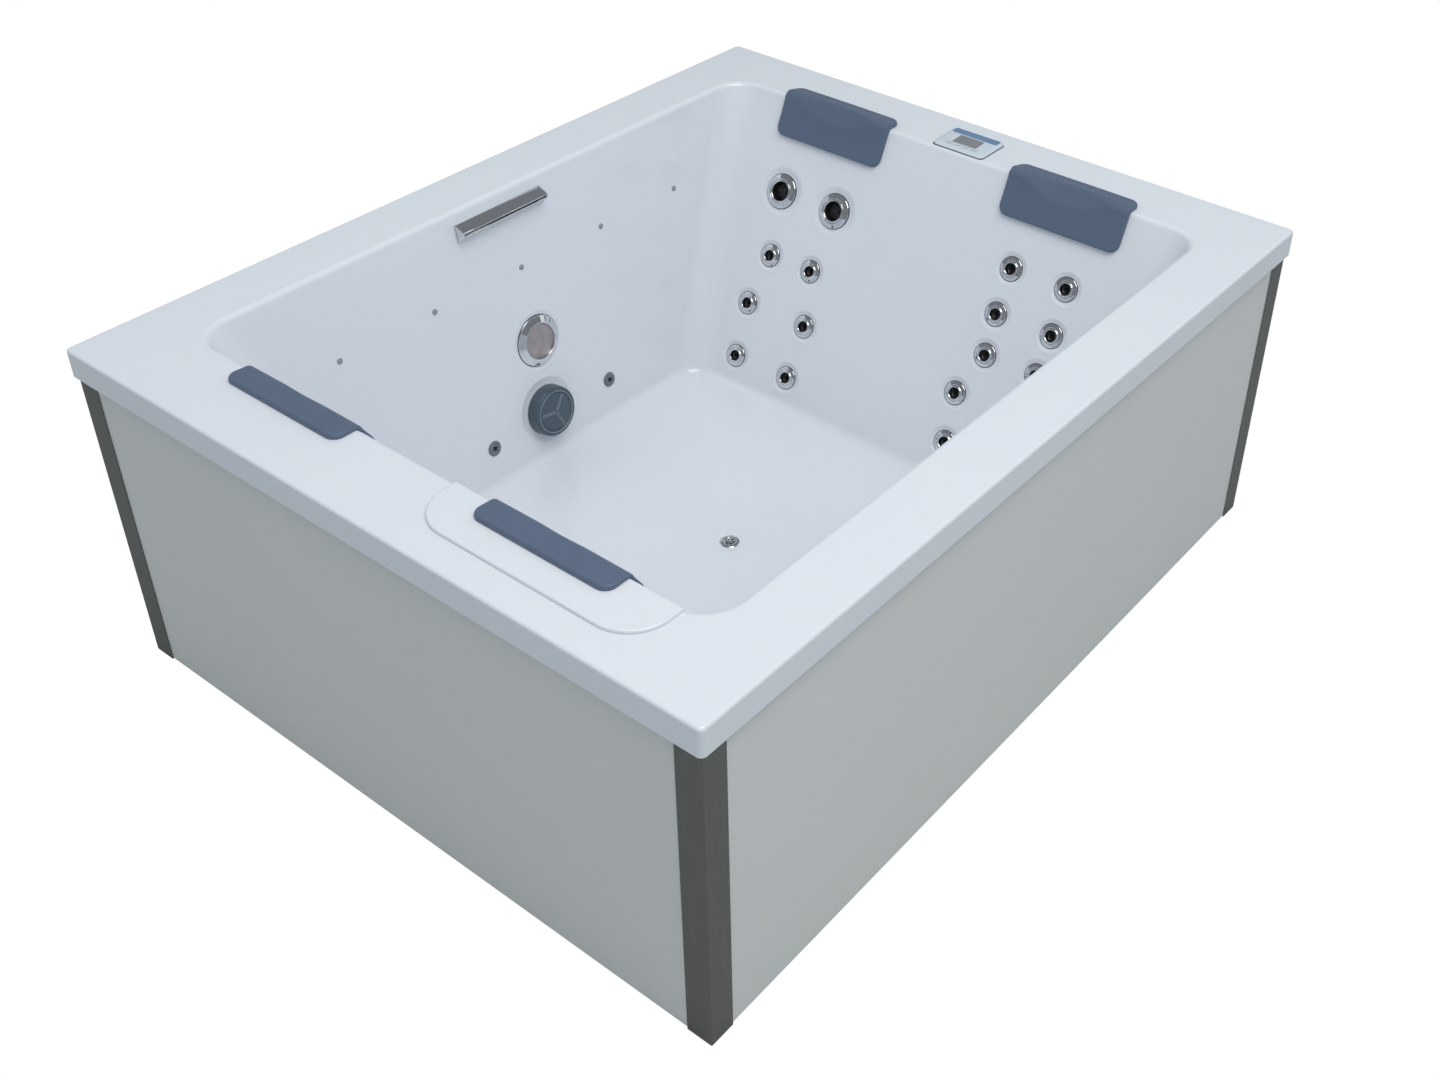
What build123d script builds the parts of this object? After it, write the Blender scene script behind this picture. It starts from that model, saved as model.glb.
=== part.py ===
from build123d import *
import os
from math import cos, hypot, pi, sin

# Rectangular hot tub for several bathers: a one-piece acrylic shell on a steel frame, with skirt panels
# between four corner posts. +X points to the keypad end, +Y to the side with the light, +Z is up.
# The origin is on the ground under the middle of the rim. Millimetres.

os.makedirs("parts", exist_ok=True)

# Rim and well
rim_length = 2044
rim_width = 1668
rim_height = 800
apron_height = 62
rim_corner = 12
rim_edge = 7
well_edge = 13
shell_wall = 8
filter_rim = 186
keypad_rim = 172
side_rim = 146
well_depth = 700
end_lean = 330
side_lean = 113
well_corner = 80
floor_cove = 30

# Skirt, posts and frame
skirt_inset = 9
panel_thickness = 5
panel_rise = 32
panel_lift = 2
post_face = 58
post_wall = 2
post_corner = 3
groove_depth = 14
foot_height = 6
foot_size = 90
rail_size = 40
tray_thickness = 4
upright_size = 30
tube_wall = 2
bearer_width = 60
bearer_count = 6
rail_count = 5

# Clearances
seat_gap = 0.3
slide_gap = 0.5
running_gap = 0.08

# Flat sides that stand in for a round where it is small or hidden
fine_sides = 16
plain_sides = 12
nozzle_sides = 8
hex_sides = 6
round_sides = 24

# Filter lid and filter
lid_center_y = -364
lid_length = 540
lid_overlap = 15
lid_thickness = 7
lid_corner = 85
lid_plug_depth = 12
lid_plug_wall = 3
mouth_low = 640
mouth_high = 700
trough_depth = 46
housing_wall = 4
bucket_radius = 66
bucket_depth = 262
bucket_y = -200
cartridge_radius = 54
cartridge_height = 230
cartridge_pleats = 20
pleat_depth = 9
cartridge_cap = 10
handle_height = 22

# Neck pillows
pillow_length = 328
pillow_flap = 46
pillow_drop = 92
pillow_top = 10
pillow_front = 14
pillow_fold = 12
pillow_edge = 4
pillow_corner = 24
scoop_length = 230
scoop_depth = 9
peg_radius = 6
peg_reach = 18
peg_spacing = 180
peg_height = 745
filter_pillows_y = (328, -360)
keypad_pillows_y = (350, -340)

# Jets
jet_columns_y = (364, -332)
large_jet_z = 583
large_jet_spacing = 174
large_jet_radius = 45
large_mouth_radius = 25
large_barrel_radius = 36
large_barrel_wall = 5
large_flange = 7
bevel_angle = 42
rotor_shaft_radius = 3.5
rotor_hole_radius = 5
web_thickness = 4
small_jet_radius = 29.5
small_mouth_radius = 11.5
small_barrel_radius = 17
small_flange = 5
small_nut = 44
large_nut = 88
nut_thickness = 12
barrel_reach = 26
rear_seat_rows = ((430, 134), (302, 191), (170, 173))
front_seat_rows = ((603, 154), (498, 158), (404, 146), (299, 240), (185, 212))

# Fittings on the light side
light_x = 15
light_z = 405
light_radius = 65
lens_radius = 45
light_proud = 11
light_bevel = 50
light_hole_radius = 48
light_can_depth = 50
suction_x = -8
suction_z = 224
suction_radius = 67
suction_proud = 35
suction_slots = 8
suction_pipe_radius = 25
waterline_z = 600
waterline_pitch = 270
waterline_count = 5
waterline_radius = 7
injector_z = 205
injector_spacing = 398
injector_radius = 19.5
spout_x = -14
spout_z = 768
spout_length = 264
spout_drop = 40
spout_reach = 28
spout_wall = 3
spout_slot = 2
duct_height = 14

# Drain and waste pipe
drain_radius = 24
drain_well_radius = 14
drain_neck = 13
flange_rise = 3
drain_sump_radius = 26
waste_radius = 18
waste_wall = 3
waste_end_y = 620
waste_spigot = 50
waste_spigot_radius = 16

# Keypad
keypad_x = 908
keypad_y = -12
keypad_depth = 104
keypad_length = 146
keypad_height = 7
seal_thickness = 1.5
display_depth = 42
display_length = 70
key_count = 4
key_length = 16
key_width = 9
key_pitch = 24
key_travel = 0.8
key_rise = 1

# Equipment under the rim
pump_y = 60
volute_radius = 75
volute_length = 80
motor_radius = 70
motor_length = 230
foot_half = 60
heater_radius = 32
heater_start_y = 155
heater_length = 380
pipe_radius = 25
air_pipe_radius = 12
pipe_bend = 38
air_bend = 18
pump_z = 140
port_length = 30
sump_depth = 60
injector_stem = 30
upper_pipe_z = 300
air_line_z = 316
air_loop_z = 540
stub_count = 6
manifold_x = 850
manifold_radius = 32
manifold_length = 840
blower_x = 560
blower_radius = 60
blower_height = 150
blower_outlet = 20
control_length = 240
control_depth = 150
control_height = 190
control_y = -440
gland_height = 60
gland_bore = 7
gland_radius = 13
gland_length = 22

# Derived places
half_length = rim_length / 2
half_width = rim_width / 2
floor_z = rim_height - well_depth
rim_under = rim_height - shell_wall
apron_z = rim_height - apron_height
skirt_x = half_length - skirt_inset
skirt_y = half_width - skirt_inset
rail_z = foot_height
tray_z = rail_z + rail_size
deck_z = tray_z + tray_thickness
shell_under = floor_z - shell_wall
end_slope = end_lean / well_depth
side_slope = side_lean / well_depth
filter_edge = filter_rim - half_length
keypad_edge = half_length - keypad_rim
side_edge = half_width - side_rim
panel_x = skirt_x - post_wall - slide_gap
panel_y = skirt_y - post_wall - slide_gap
post_leg = 2 * post_wall + panel_thickness + 2 * slide_gap
frame_x = skirt_x - post_leg - seat_gap
frame_y = skirt_y - post_leg - seat_gap
lid_outer_x = filter_edge - 117
notch_x = lid_outer_x + lid_overlap
notch_length = lid_length - 2 * lid_overlap
delivery_y = frame_y - 75
blower_y = frame_y - 125
waste_z = deck_z + waste_radius + 2 * seat_gap


# Walls of the well: where each stands at a height, and planes on them that face the bather

def filter_wall(z):
    """X of the wall at the filter end, at height z."""
    return filter_edge + (rim_height - z) * end_slope


def keypad_wall(z):
    """X of the wall at the keypad end, at height z."""
    return keypad_edge - (rim_height - z) * end_slope


def side_wall(z):
    """Distance of each long wall from the middle, at height z."""
    return side_edge - (rim_height - z) * side_slope


def on_keypad_wall(y, z):
    """Plane on the keypad end's wall, Z into the well and Y up the slope."""
    return Plane((keypad_wall(z), y, z), x_dir=(0, -1, 0), z_dir=(-1, 0, end_slope))


def on_light_wall(x, z):
    """Plane on the light side's wall, Z into the well and Y up the slope."""
    return Plane((x, side_wall(z), z), x_dir=(1, 0, 0), z_dir=(0, -1, side_slope))


def behind(plane, depth):
    """Point behind a wall plane, on its axis."""
    return plane.origin - plane.z_dir * depth


# Shapes that many sub-parts share

def post_solid(radius, low, high):
    """Upright cylinder between two heights."""
    return Pos(0, 0, low) * Cylinder(radius, high - low, align=(Align.CENTER, Align.CENTER, Align.MIN))


def block(x, y, z):
    """Box between two limits on each axis."""
    size = Box(x[1] - x[0], y[1] - y[0], z[1] - z[0])
    return Pos((x[0] + x[1]) / 2, (y[0] + y[1]) / 2, (z[0] + z[1]) / 2) * size


def square_tube(length, size, wall):
    """Hollow square tube along X, centred."""
    return Box(length, size, size) - Box(length, size - 2 * wall, size - 2 * wall)


def pipe(radius, bend, *points):
    """Flat-sided pipe along straight runs, each corner cut by a short slanting run."""
    route = [Vector(*points[0])]
    for before, corner, after in zip(points, points[1:], points[2:]):
        corner = Vector(*corner)
        route.append(corner + (Vector(*before) - corner).normalized() * bend)
        route.append(corner + (Vector(*after) - corner).normalized() * bend)
    route.append(Vector(*points[-1]))
    ways = [(end - start).normalized() for start, end in zip(route, route[1:])]
    across = Plane(route[0], z_dir=ways[0]).x_dir
    runs = []
    for i, way in enumerate(ways):
        length = (route[i + 1] - route[i]).length
        low = -radius if i else 0
        high = length + (radius if i + 1 < len(ways) else 0)
        run = Plane(route[i], x_dir=across, z_dir=way).location * prism(plain_sides, radius, low, high)
        if i:
            run = split(run, Plane(route[i], z_dir=ways[i - 1] + way), keep=Keep.TOP)
        if i + 1 < len(ways):
            mitre = (way + ways[i + 1]).normalized()
            run = split(run, Plane(route[i + 1], z_dir=mitre), keep=Keep.BOTTOM)
            across = across - mitre * (2 * across.dot(mitre))
        runs.append(run)
    return runs[0] + runs[1:]


def prism(sides, radius, low, high):
    """Upright prism between two heights, its flats at the given radius."""
    return Pos(0, 0, low) * extrude(RegularPolygon(radius, sides, major_radius=False), high - low)


def group(solids):
    """Separate solids that share a node."""
    return Compound(children=[s.solid() for s in solids])


# Shell


def well_block(grow, low, high, cove=0):
    """The well as a solid between two heights, its walls moved outwards by grow, with a cove round its floor."""
    end_grow = grow * hypot(1, end_slope)
    side_grow = grow * hypot(1, side_slope)
    back = filter_wall(high) - end_grow
    half = side_wall(high) + side_grow
    low_half = side_wall(low) + side_grow
    body = Wedge(keypad_wall(high) + end_grow - back, high - low, 2 * half,
                 filter_wall(low) - end_grow - back, half - low_half,
                 keypad_wall(low) + end_grow - back, half + low_half, align=Align.MIN)
    body = Pos(back, -half, high) * Rot(-90, 0, 0) * body
    slanting = body.edges().group_by(Axis.Z)[1:-1]
    body = fillet([e for row in slanting for e in row], well_corner + grow)
    if cove:
        body = fillet(body.faces().sort_by(Axis.Z)[0].edges(), cove + grow)
    return body


def rim_plate():
    """Rim with its turned-down apron, still without the well."""
    outer = block((-half_length, half_length), (-half_width, half_width), (apron_z, rim_height))
    outer = fillet(outer.edges().filter_by(Axis.Z), rim_corner)
    outer = fillet(outer.faces().sort_by(Axis.Z)[-1].edges(), rim_edge)
    inner_x = half_length - shell_wall
    inner_y = half_width - shell_wall
    inner = block((-inner_x, inner_x), (-inner_y, inner_y), (apron_z, rim_under))
    inner = fillet(inner.edges().filter_by(Axis.Z), rim_corner - shell_wall)
    return outer - inner


def notch_block(gap, low, high):
    """The space that the filter lid closes, drawn in by a gap on its three sides."""
    reach = filter_wall(mouth_low) + 2 * shell_wall
    half = notch_length / 2 - gap
    outer = block((notch_x + gap, reach), (lid_center_y - half, lid_center_y + half), (low, high))
    return fillet(outer.edges().filter_by(Axis.Z).group_by(Axis.X)[0], lid_corner - lid_overlap - gap)


def wall_hole(plane, sides, radius):
    """Cutter for a flat-sided hole through the wall, which a flange hides."""
    deep = 4 * shell_wall
    return plane.location * prism(sides, radius, -deep, deep)


def large_jet_planes():
    """Planes of the two large jets, above the rear seat's small ones."""
    middle = jet_columns_y[0]
    return [on_keypad_wall(middle + s * large_jet_spacing / 2, large_jet_z) for s in (1, -1)]


def small_jet_planes():
    """Planes of the small jets, in two columns behind each seat."""
    planes = []
    for middle, rows in zip(jet_columns_y, (rear_seat_rows, front_seat_rows)):
        for z, spacing in rows:
            planes += [on_keypad_wall(middle + s * spacing / 2, z) for s in (1, -1)]
    return planes


def injector_planes():
    """Planes of the two air injectors, either side of the suction."""
    return [on_light_wall(light_x + s * injector_spacing / 2, injector_z) for s in (-1, 1)]


def waterline_planes():
    """Planes of the row of small lights at the waterline."""
    first = light_x - waterline_pitch * (waterline_count - 1) / 2
    return [on_light_wall(first + i * waterline_pitch, waterline_z) for i in range(waterline_count)]


def peg_places(middle):
    """Y of the two pegs of a pillow."""
    return [middle + s * peg_spacing / 2 for s in (-1, 1)]


def peg_hole(wall_x, y, lift=0):
    """Cutter for a pillow's peg, along X through the wall."""
    radius = peg_radius + seat_gap
    reach = 4 * shell_wall
    return Pos(wall_x, y, peg_height + lift) * Rot(0, 90, 0) * prism(hex_sides, radius, -reach, reach)


def tub_shell():
    """One-piece shell: rim, apron and well, with its holes."""
    shell = rim_plate() + well_block(shell_wall, shell_under, rim_under, floor_cove)
    shell -= well_block(0, floor_z, rim_height, floor_cove)
    shell = shell.solid()
    opening = [e for e in shell.faces().sort_by(Axis.Z)[-1].inner_wires()[0].edges()]
    shell = fillet(opening, well_edge)
    cutters = [notch_block(0, mouth_low, rim_height + 1)]
    light_plane = on_light_wall(light_x, light_z)
    suction_plane = on_light_wall(suction_x, suction_z)
    cutters += [wall_hole(p, fine_sides, large_barrel_radius + seat_gap) for p in large_jet_planes()]
    cutters += [wall_hole(p, nozzle_sides, small_barrel_radius + seat_gap) for p in small_jet_planes()]
    cutters += [wall_hole(p, hex_sides, injector_radius / 2 + seat_gap) for p in injector_planes()]
    cutters += [wall_hole(p, hex_sides, waterline_radius / 2 + seat_gap) for p in waterline_planes()]
    cutters.append(wall_hole(light_plane, fine_sides, light_hole_radius + seat_gap))
    cutters.append(wall_hole(suction_plane, plain_sides, suction_pipe_radius + seat_gap))
    cutters.append(Pos(0, 0, floor_z) * prism(plain_sides, drain_well_radius + waste_wall + seat_gap, -20, 20))
    cutters.append(spout_duct(seat_gap))
    cutters.append(keypad_well(slide_gap))
    cutters += [peg_hole(filter_wall(peg_height), y) for y in peg_places(filter_pillows_y[0])]
    for middle in keypad_pillows_y:
        cutters += [peg_hole(keypad_wall(peg_height), y) for y in peg_places(middle)]
    return shell - cutters


# Skirt and frame

def skirt_panel(axis, side):
    """Flat panel between two posts; axis names the side's normal."""
    grooved = post_face - groove_depth + slide_gap
    heights = (rail_z + panel_lift, apron_z + panel_rise)
    outer = panel_x if axis == "x" else panel_y
    faces = sorted((side * outer, side * (outer - panel_thickness)))
    half = (skirt_y if axis == "x" else skirt_x) - grooved
    if axis == "x":
        return block(faces, (-half, half), heights)
    return block((-half, half), faces, heights)


def corner_post(x_side, y_side):
    """Extruded corner post with a groove for each of its two panels."""
    height = apron_z + panel_rise - rail_z
    outer = Rectangle(post_face, post_face, align=Align.MAX)
    outer -= Pos(-post_leg, -post_leg) * Rectangle(post_face, post_face, align=Align.MAX)
    outer = fillet(outer.vertices().group_by(Axis.X)[-1].sort_by(Axis.Y)[-1:], post_corner)
    groove = panel_thickness + 2 * slide_gap
    mid = -post_wall - groove / 2
    slot_end = -post_face + groove_depth / 2
    outer -= Pos(slot_end, mid) * Rectangle(groove_depth, groove)
    outer -= Pos(mid, slot_end) * Rectangle(groove, groove_depth)
    turn = {(1, 1): 0, (-1, 1): 90, (-1, -1): 180, (1, -1): 270}[x_side, y_side]
    return Pos(x_side * skirt_x, y_side * skirt_y, rail_z) * Rot(0, 0, turn) * extrude(outer, height)


def rail_places(count, half):
    """Evenly spaced places between two limits, the limits included."""
    return [-half + 2 * half * i / (count - 1) for i in range(count)]


def base_frame():
    """Bottom rails: two long ones and the cross rails between them."""
    z = rail_z + rail_size / 2
    edge_y = frame_y - rail_size / 2
    long_rail = square_tube(2 * frame_x, rail_size, tube_wall)
    cross_rail = Rot(0, 0, 90) * square_tube(2 * (edge_y - rail_size / 2), rail_size, tube_wall)
    rails = [Pos(0, s * edge_y, z) * long_rail for s in (-1, 1)]
    rails += [Pos(x, 0, z) * cross_rail for x in rail_places(rail_count, frame_x - rail_size / 2)]
    return group(rails)


def rubber_feet():
    """Square pads under the crossings of the rails."""
    low = (0, foot_height)
    half = foot_size / 2
    pads = []
    for x in rail_places(3, frame_x - half):
        for y in rail_places(3, frame_y - half):
            pads.append(block((x - half, x + half), (y - half, y + half), low))
    return group(pads)


def base_tray():
    """Sheet on the rails that carries the equipment."""
    return block((-frame_x, frame_x), (-frame_y, frame_y), (tray_z, deck_z))


def floor_bearers():
    """Timber bearers under the well's floor, with a way through the middle for the waste pipe."""
    edge = keypad_wall(floor_z) - floor_cove - bearer_width / 2
    half_y = side_wall(floor_z) - floor_cove
    places = rail_places(bearer_count, (edge - filter_wall(floor_z) - floor_cove - bearer_width / 2) / 2)
    middle = (keypad_wall(floor_z) + filter_wall(floor_z)) / 2
    half = bearer_width / 2
    return group([block((middle + x - half, middle + x + half), (-half_y, half_y), (deck_z, shell_under))
                  for x in places])


def frame_uprights():
    """Uprights at the corners and mid sides, and the top rails that the rim rests on."""
    half = upright_size / 2
    top_low = rim_under - upright_size
    edge_x = frame_x - half
    edge_y = frame_y - half
    upright = Rot(0, 90, 0) * square_tube(top_low - deck_z, upright_size, tube_wall)
    z = (top_low + deck_z) / 2
    solids = []
    for x in rail_places(3, edge_x):
        for y in (-edge_y, edge_y):
            solids.append(Pos(x, y, z) * upright)
    solids += [Pos(s * edge_x, 0, z) * upright for s in (-1, 1)]
    long_rail = square_tube(2 * frame_x, upright_size, tube_wall)
    cross_rail = Rot(0, 0, 90) * square_tube(2 * (frame_y - upright_size), upright_size, tube_wall)
    solids += [Pos(0, s * edge_y, rim_under - half) * long_rail for s in (-1, 1)]
    solids += [Pos(s * edge_x, 0, rim_under - half) * cross_rail for s in (-1, 1)]
    return group(solids)


# Filter

def filter_lid():
    """Raised lid over the filter: plate, locating plug and a front that continues the wall."""
    half = lid_length / 2
    outline = Pos((lid_outer_x + filter_edge) / 2, lid_center_y) * Rectangle(filter_edge - lid_outer_x, lid_length)
    outer_corners = outline.vertices().sort_by(Axis.X)[:2]
    outline = fillet(outer_corners, lid_corner)
    plate = extrude(Pos(0, 0, rim_height + seat_gap) * outline, lid_thickness)
    plate = fillet(plate.faces().sort_by(Axis.Z)[-1].edges(), lid_thickness / 2)
    front = notch_block(slide_gap, mouth_high, rim_height + seat_gap + lid_thickness / 2)
    front &= well_block(shell_wall, mouth_low - shell_wall, rim_height + 2 * lid_thickness)
    front -= well_block(0, mouth_low - shell_wall, rim_height + 2 * lid_thickness)
    plug = notch_block(slide_gap, rim_height - lid_plug_depth, rim_height + seat_gap)
    plug -= notch_block(slide_gap + lid_plug_wall, rim_height - lid_plug_depth, rim_height + seat_gap)
    plug -= well_block(0, mouth_low, rim_height + lid_thickness)
    lid = plate + front + plug
    for y in peg_places(filter_pillows_y[1]):
        lid -= peg_hole(filter_wall(peg_height), y, lid_thickness + seat_gap)
    return lid


def filter_housing():
    """Trough behind the mouth in the wall, with a bucket below it for the cartridge."""
    half = notch_length / 2 + housing_wall + slide_gap
    low_x = notch_x - slide_gap - housing_wall
    high_x = filter_wall(mouth_low) - shell_wall * hypot(1, end_slope) - seat_gap
    low_z = mouth_low - trough_depth
    outside = block((low_x, high_x), (lid_center_y - half, lid_center_y + half), (low_z, rim_under))
    inside = block((low_x + housing_wall, high_x - housing_wall),
                   (lid_center_y - half + housing_wall, lid_center_y + half - housing_wall),
                   (low_z + housing_wall, rim_height))
    front_open = block((high_x - 2 * housing_wall, high_x + 1),
                       (lid_center_y - half, lid_center_y + half), (mouth_low - seat_gap, rim_height))
    base = bucket_low()
    axis = Pos(bucket_x(), bucket_y, 0)
    body = outside + axis * prism(fine_sides, bucket_radius, base, low_z + housing_wall)
    body -= [inside, front_open]
    body -= axis * prism(fine_sides, bucket_radius - housing_wall, base + housing_wall, mouth_low)
    body -= axis * prism(plain_sides, pipe_radius - housing_wall, base - 1, base + 2 * housing_wall)
    return body - well_block(shell_wall + seat_gap, shell_under, rim_height, floor_cove)


def bucket_x():
    """X of the bucket's axis, midway across the trough."""
    return (notch_x + filter_wall(mouth_low)) / 2 - shell_wall


def bucket_low():
    """Height of the bucket's underside."""
    return mouth_low - trough_depth - bucket_depth


def filter_cartridge():
    """Pleated cartridge with end caps and a bar handle, standing in the bucket."""
    low = bucket_low() + housing_wall + seat_gap
    step = pi / cartridge_pleats
    rim = [(cartridge_radius - pleat_depth * (i % 2)) for i in range(2 * cartridge_pleats)]
    star = Polyline(*[(r * cos(i * step), r * sin(i * step)) for i, r in enumerate(rim)], close=True)
    core = extrude(make_face(star), cartridge_height)
    cap_radius = cartridge_radius + 2
    body = core + prism(cartridge_pleats, cap_radius, 0, cartridge_cap)
    body += prism(cartridge_pleats, cap_radius, cartridge_height - cartridge_cap, cartridge_height)
    body -= prism(plain_sides, pipe_radius, -1, cartridge_height - cartridge_cap)
    handle = Pos(0, 0, cartridge_height + handle_height / 2) * Box(cartridge_radius * 1.4, 10, handle_height)
    handle -= Pos(0, 0, cartridge_height + handle_height / 2 - 4) * Box(cartridge_radius, 10, handle_height - 8)
    return Pos(bucket_x(), bucket_y, low) * (body + handle)


# Pillows

def pillow_section():
    """Outline of a pillow across its length: a flap on the rim and a front that hangs down the wall.
    X runs from the wall's top edge into the rim, Y is up from the rim."""
    gap = seat_gap
    slope = end_slope
    wall_gap = gap * hypot(1, slope)
    flap_end = pillow_flap
    drop = pillow_drop
    front = pillow_front * hypot(1, slope)

    def wall_at(height, out):
        return (height * slope - out, height)

    inner = wall_at(gap, wall_gap)
    bottom_back = wall_at(-drop, wall_gap)
    bottom_front = wall_at(-drop, wall_gap + front - pillow_edge)
    bottom_nose = wall_at(-drop + pillow_edge, wall_gap + front)
    bottom_mid = wall_at(-drop + pillow_edge * 0.3, wall_gap + front - pillow_edge * 0.3)
    face_mid = wall_at(-drop / 2, wall_gap + front + 3)
    fold_low = wall_at(pillow_top - pillow_fold, wall_gap + front)
    fold_mid = (fold_low[0] + pillow_fold * 0.42, pillow_top - pillow_fold * 0.2)
    fold_high = (fold_low[0] + pillow_fold * 1.2, pillow_top)
    top_mid = ((fold_high[0] + flap_end) / 2, pillow_top + 2)
    nose_high = (flap_end - pillow_edge, pillow_top - 1)
    nose_low = (flap_end, gap + pillow_edge)
    nose_mid = (flap_end - pillow_edge * 0.3, pillow_top - pillow_edge * 0.5)
    edges = [
        Line(inner, bottom_back),
        Line(bottom_back, bottom_front),
        ThreePointArc(bottom_front, bottom_mid, bottom_nose),
        ThreePointArc(bottom_nose, face_mid, fold_low),
        ThreePointArc(fold_low, fold_mid, fold_high),
        ThreePointArc(fold_high, top_mid, nose_high),
        ThreePointArc(nose_high, nose_mid, nose_low),
        Line(nose_low, (flap_end, gap)),
        Line((flap_end, gap), inner),
    ]
    return make_face(edges)


def pillow():
    """Moulded neck pillow at the keypad end's edge, centred on Y = 0, with its scoop and pegs."""
    half = pillow_length / 2
    body = extrude(Plane.XZ * pillow_section(), half, both=True)
    reach = 2 * (pillow_flap + pillow_drop)
    plan = RectangleRounded(reach, pillow_length, pillow_corner)
    body &= extrude(Pos(pillow_flap - reach / 2, 0, -reach) * plan, 2 * reach)
    front = Plane.YZ * (Pos(0, reach / 2 - pillow_drop) * RectangleRounded(pillow_length, reach, pillow_corner))
    body &= extrude(front, reach, both=True)
    ball = (scoop_length**2 / 4 + scoop_depth**2) / (2 * scoop_depth)
    tilt = (-0.82, 0.57)
    fold = (-pillow_front, pillow_top)
    away = ball - scoop_depth
    body -= Pos(fold[0] + tilt[0] * away, 0, fold[1] + tilt[1] * away) * Sphere(ball)
    level = peg_height - rim_height
    start = level * end_slope - pillow_front / 2
    for y in peg_places(0):
        peg = prism(hex_sides, peg_radius, 0, pillow_front / 2 + shell_wall + peg_reach)
        body += Pos(start, y, level) * Rot(0, 90, 0) * peg
    return body


def placed_pillow(end, y, lift=0):
    """A pillow at the keypad end (+1) or turned round at the filter end (-1)."""
    if end > 0:
        return Pos(keypad_edge, y, rim_height + lift) * pillow()
    return Pos(filter_edge, y, rim_height + lift) * Rot(0, 0, 180) * pillow()


# Jets

def large_jet_face():
    """Bevelled chrome face on a turning barrel, with a web that carries the rotor."""
    flange_low = seat_gap
    barrel = large_barrel_radius - large_barrel_wall - running_gap
    face = post_solid(barrel, -barrel_reach, flange_low + 1)
    bevel = large_flange - flange_low
    face += Pos(0, 0, flange_low) * extrude(RegularPolygon(large_jet_radius, round_sides), bevel, taper=bevel_angle)
    face -= prism(fine_sides, large_mouth_radius, -barrel_reach, large_flange)
    web = prism(fine_sides, large_mouth_radius + 1, -barrel_reach, web_thickness - barrel_reach)
    web -= post_solid(rotor_shaft_radius + running_gap, -barrel_reach, web_thickness - barrel_reach)
    ways = [Rot(0, 0, 90 * i) * Pos(large_mouth_radius * 0.6, 0, -barrel_reach)
            * extrude(Rectangle(10, 12), web_thickness) for i in range(4)]
    return face + (web - ways)


def jet_rotor():
    """Spinning rotor with slanting outlets, on a shaft that runs in the web."""
    disc_low = web_thickness + seat_gap - barrel_reach
    disc = prism(fine_sides, large_mouth_radius - 2 * seat_gap, disc_low, -4)
    disc += post_solid(rotor_shaft_radius, -barrel_reach - 4, disc_low)
    outlets = [Rot(0, 0, 120 * i) * Pos(large_mouth_radius * 0.55, 0, -barrel_reach / 2)
               * Rot(20, 0, 0) * prism(hex_sides, rotor_hole_radius, -barrel_reach, barrel_reach)
               for i in range(3)]
    return disc - outlets


def large_jet_body():
    """Fixed barrel through the wall, with its nut behind."""
    barrel = prism(fine_sides, large_barrel_radius, -2 * barrel_reach, 0)
    barrel += prism(hex_sides, large_nut / 2, -shell_wall - nut_thickness, -shell_wall)
    return barrel - prism(fine_sides, large_barrel_radius - large_barrel_wall, -2 * barrel_reach, 0)


def small_jet_ring():
    """Chrome ring with a bevelled edge."""
    ring = extrude(RegularPolygon(small_jet_radius, plain_sides), small_flange, taper=bevel_angle)
    return ring - prism(nozzle_sides, small_barrel_radius + seat_gap, 0, small_flange)


def small_jet_body():
    """Dark nozzle through the wall, with its nut behind."""
    nut_end = -shell_wall - nut_thickness
    barrel = prism(nozzle_sides, small_barrel_radius, nut_end, 2)
    barrel += prism(hex_sides, small_nut / 2, nut_end, -shell_wall)
    return barrel - prism(hex_sides, small_mouth_radius, nut_end, 2)


# Light side

def light_ring():
    """Bevelled chrome ring round the light."""
    ring = extrude(RegularPolygon(light_radius, round_sides), light_proud, taper=light_bevel)
    return ring - prism(round_sides, lens_radius, 0, light_proud)


def light_lens():
    """Frosted lens, slightly domed."""
    return prism(round_sides, lens_radius - seat_gap, seat_gap, light_proud - 4)


def light_housing():
    """Sealed can behind the lens, through the wall, with its nut."""
    can = prism(fine_sides, light_hole_radius, -light_can_depth, 0)
    return can + prism(hex_sides, light_hole_radius + 10, -shell_wall - nut_thickness, -shell_wall)


def suction_cover():
    """Domed cover with slots in its side and grooves in its face."""
    edge = 4
    cover = prism(round_sides, suction_radius, 0, suction_proud - edge)
    cover += Pos(0, 0, suction_proud - edge) * extrude(
        RegularPolygon(suction_radius, round_sides, major_radius=False), edge, taper=45)
    cover -= prism(plain_sides, suction_radius - 6, 0, suction_proud - 5)
    slot = Pos(suction_radius, 0, suction_proud * 0.4) * Box(20, 10, suction_proud * 0.45)
    slots = [Rot(0, 0, 360 * i / suction_slots) * slot for i in range(suction_slots)]
    ring_low = suction_proud - 1
    ring = suction_radius * 0.72
    groove = prism(round_sides, ring + 2, ring_low, suction_proud) - prism(round_sides, ring, ring_low, suction_proud)
    spoke = Pos(ring / 2, 0, suction_proud) * Box(ring, 2, 2)
    spokes = [Rot(0, 0, 120 * i + 90) * spoke for i in range(3)]
    return cover - slots - groove - spokes


def suction_body():
    """Suction fitting through the wall, with its nut and the sump that the pipe leaves."""
    body = prism(plain_sides, suction_pipe_radius, -sump_depth, 2)
    body += prism(plain_sides, suction_pipe_radius + 15, 0, 2)
    body += prism(hex_sides, suction_pipe_radius + 12, -shell_wall - nut_thickness, -shell_wall)
    return body - prism(plain_sides, suction_pipe_radius - 4, 4 - sump_depth, 3)


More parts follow.
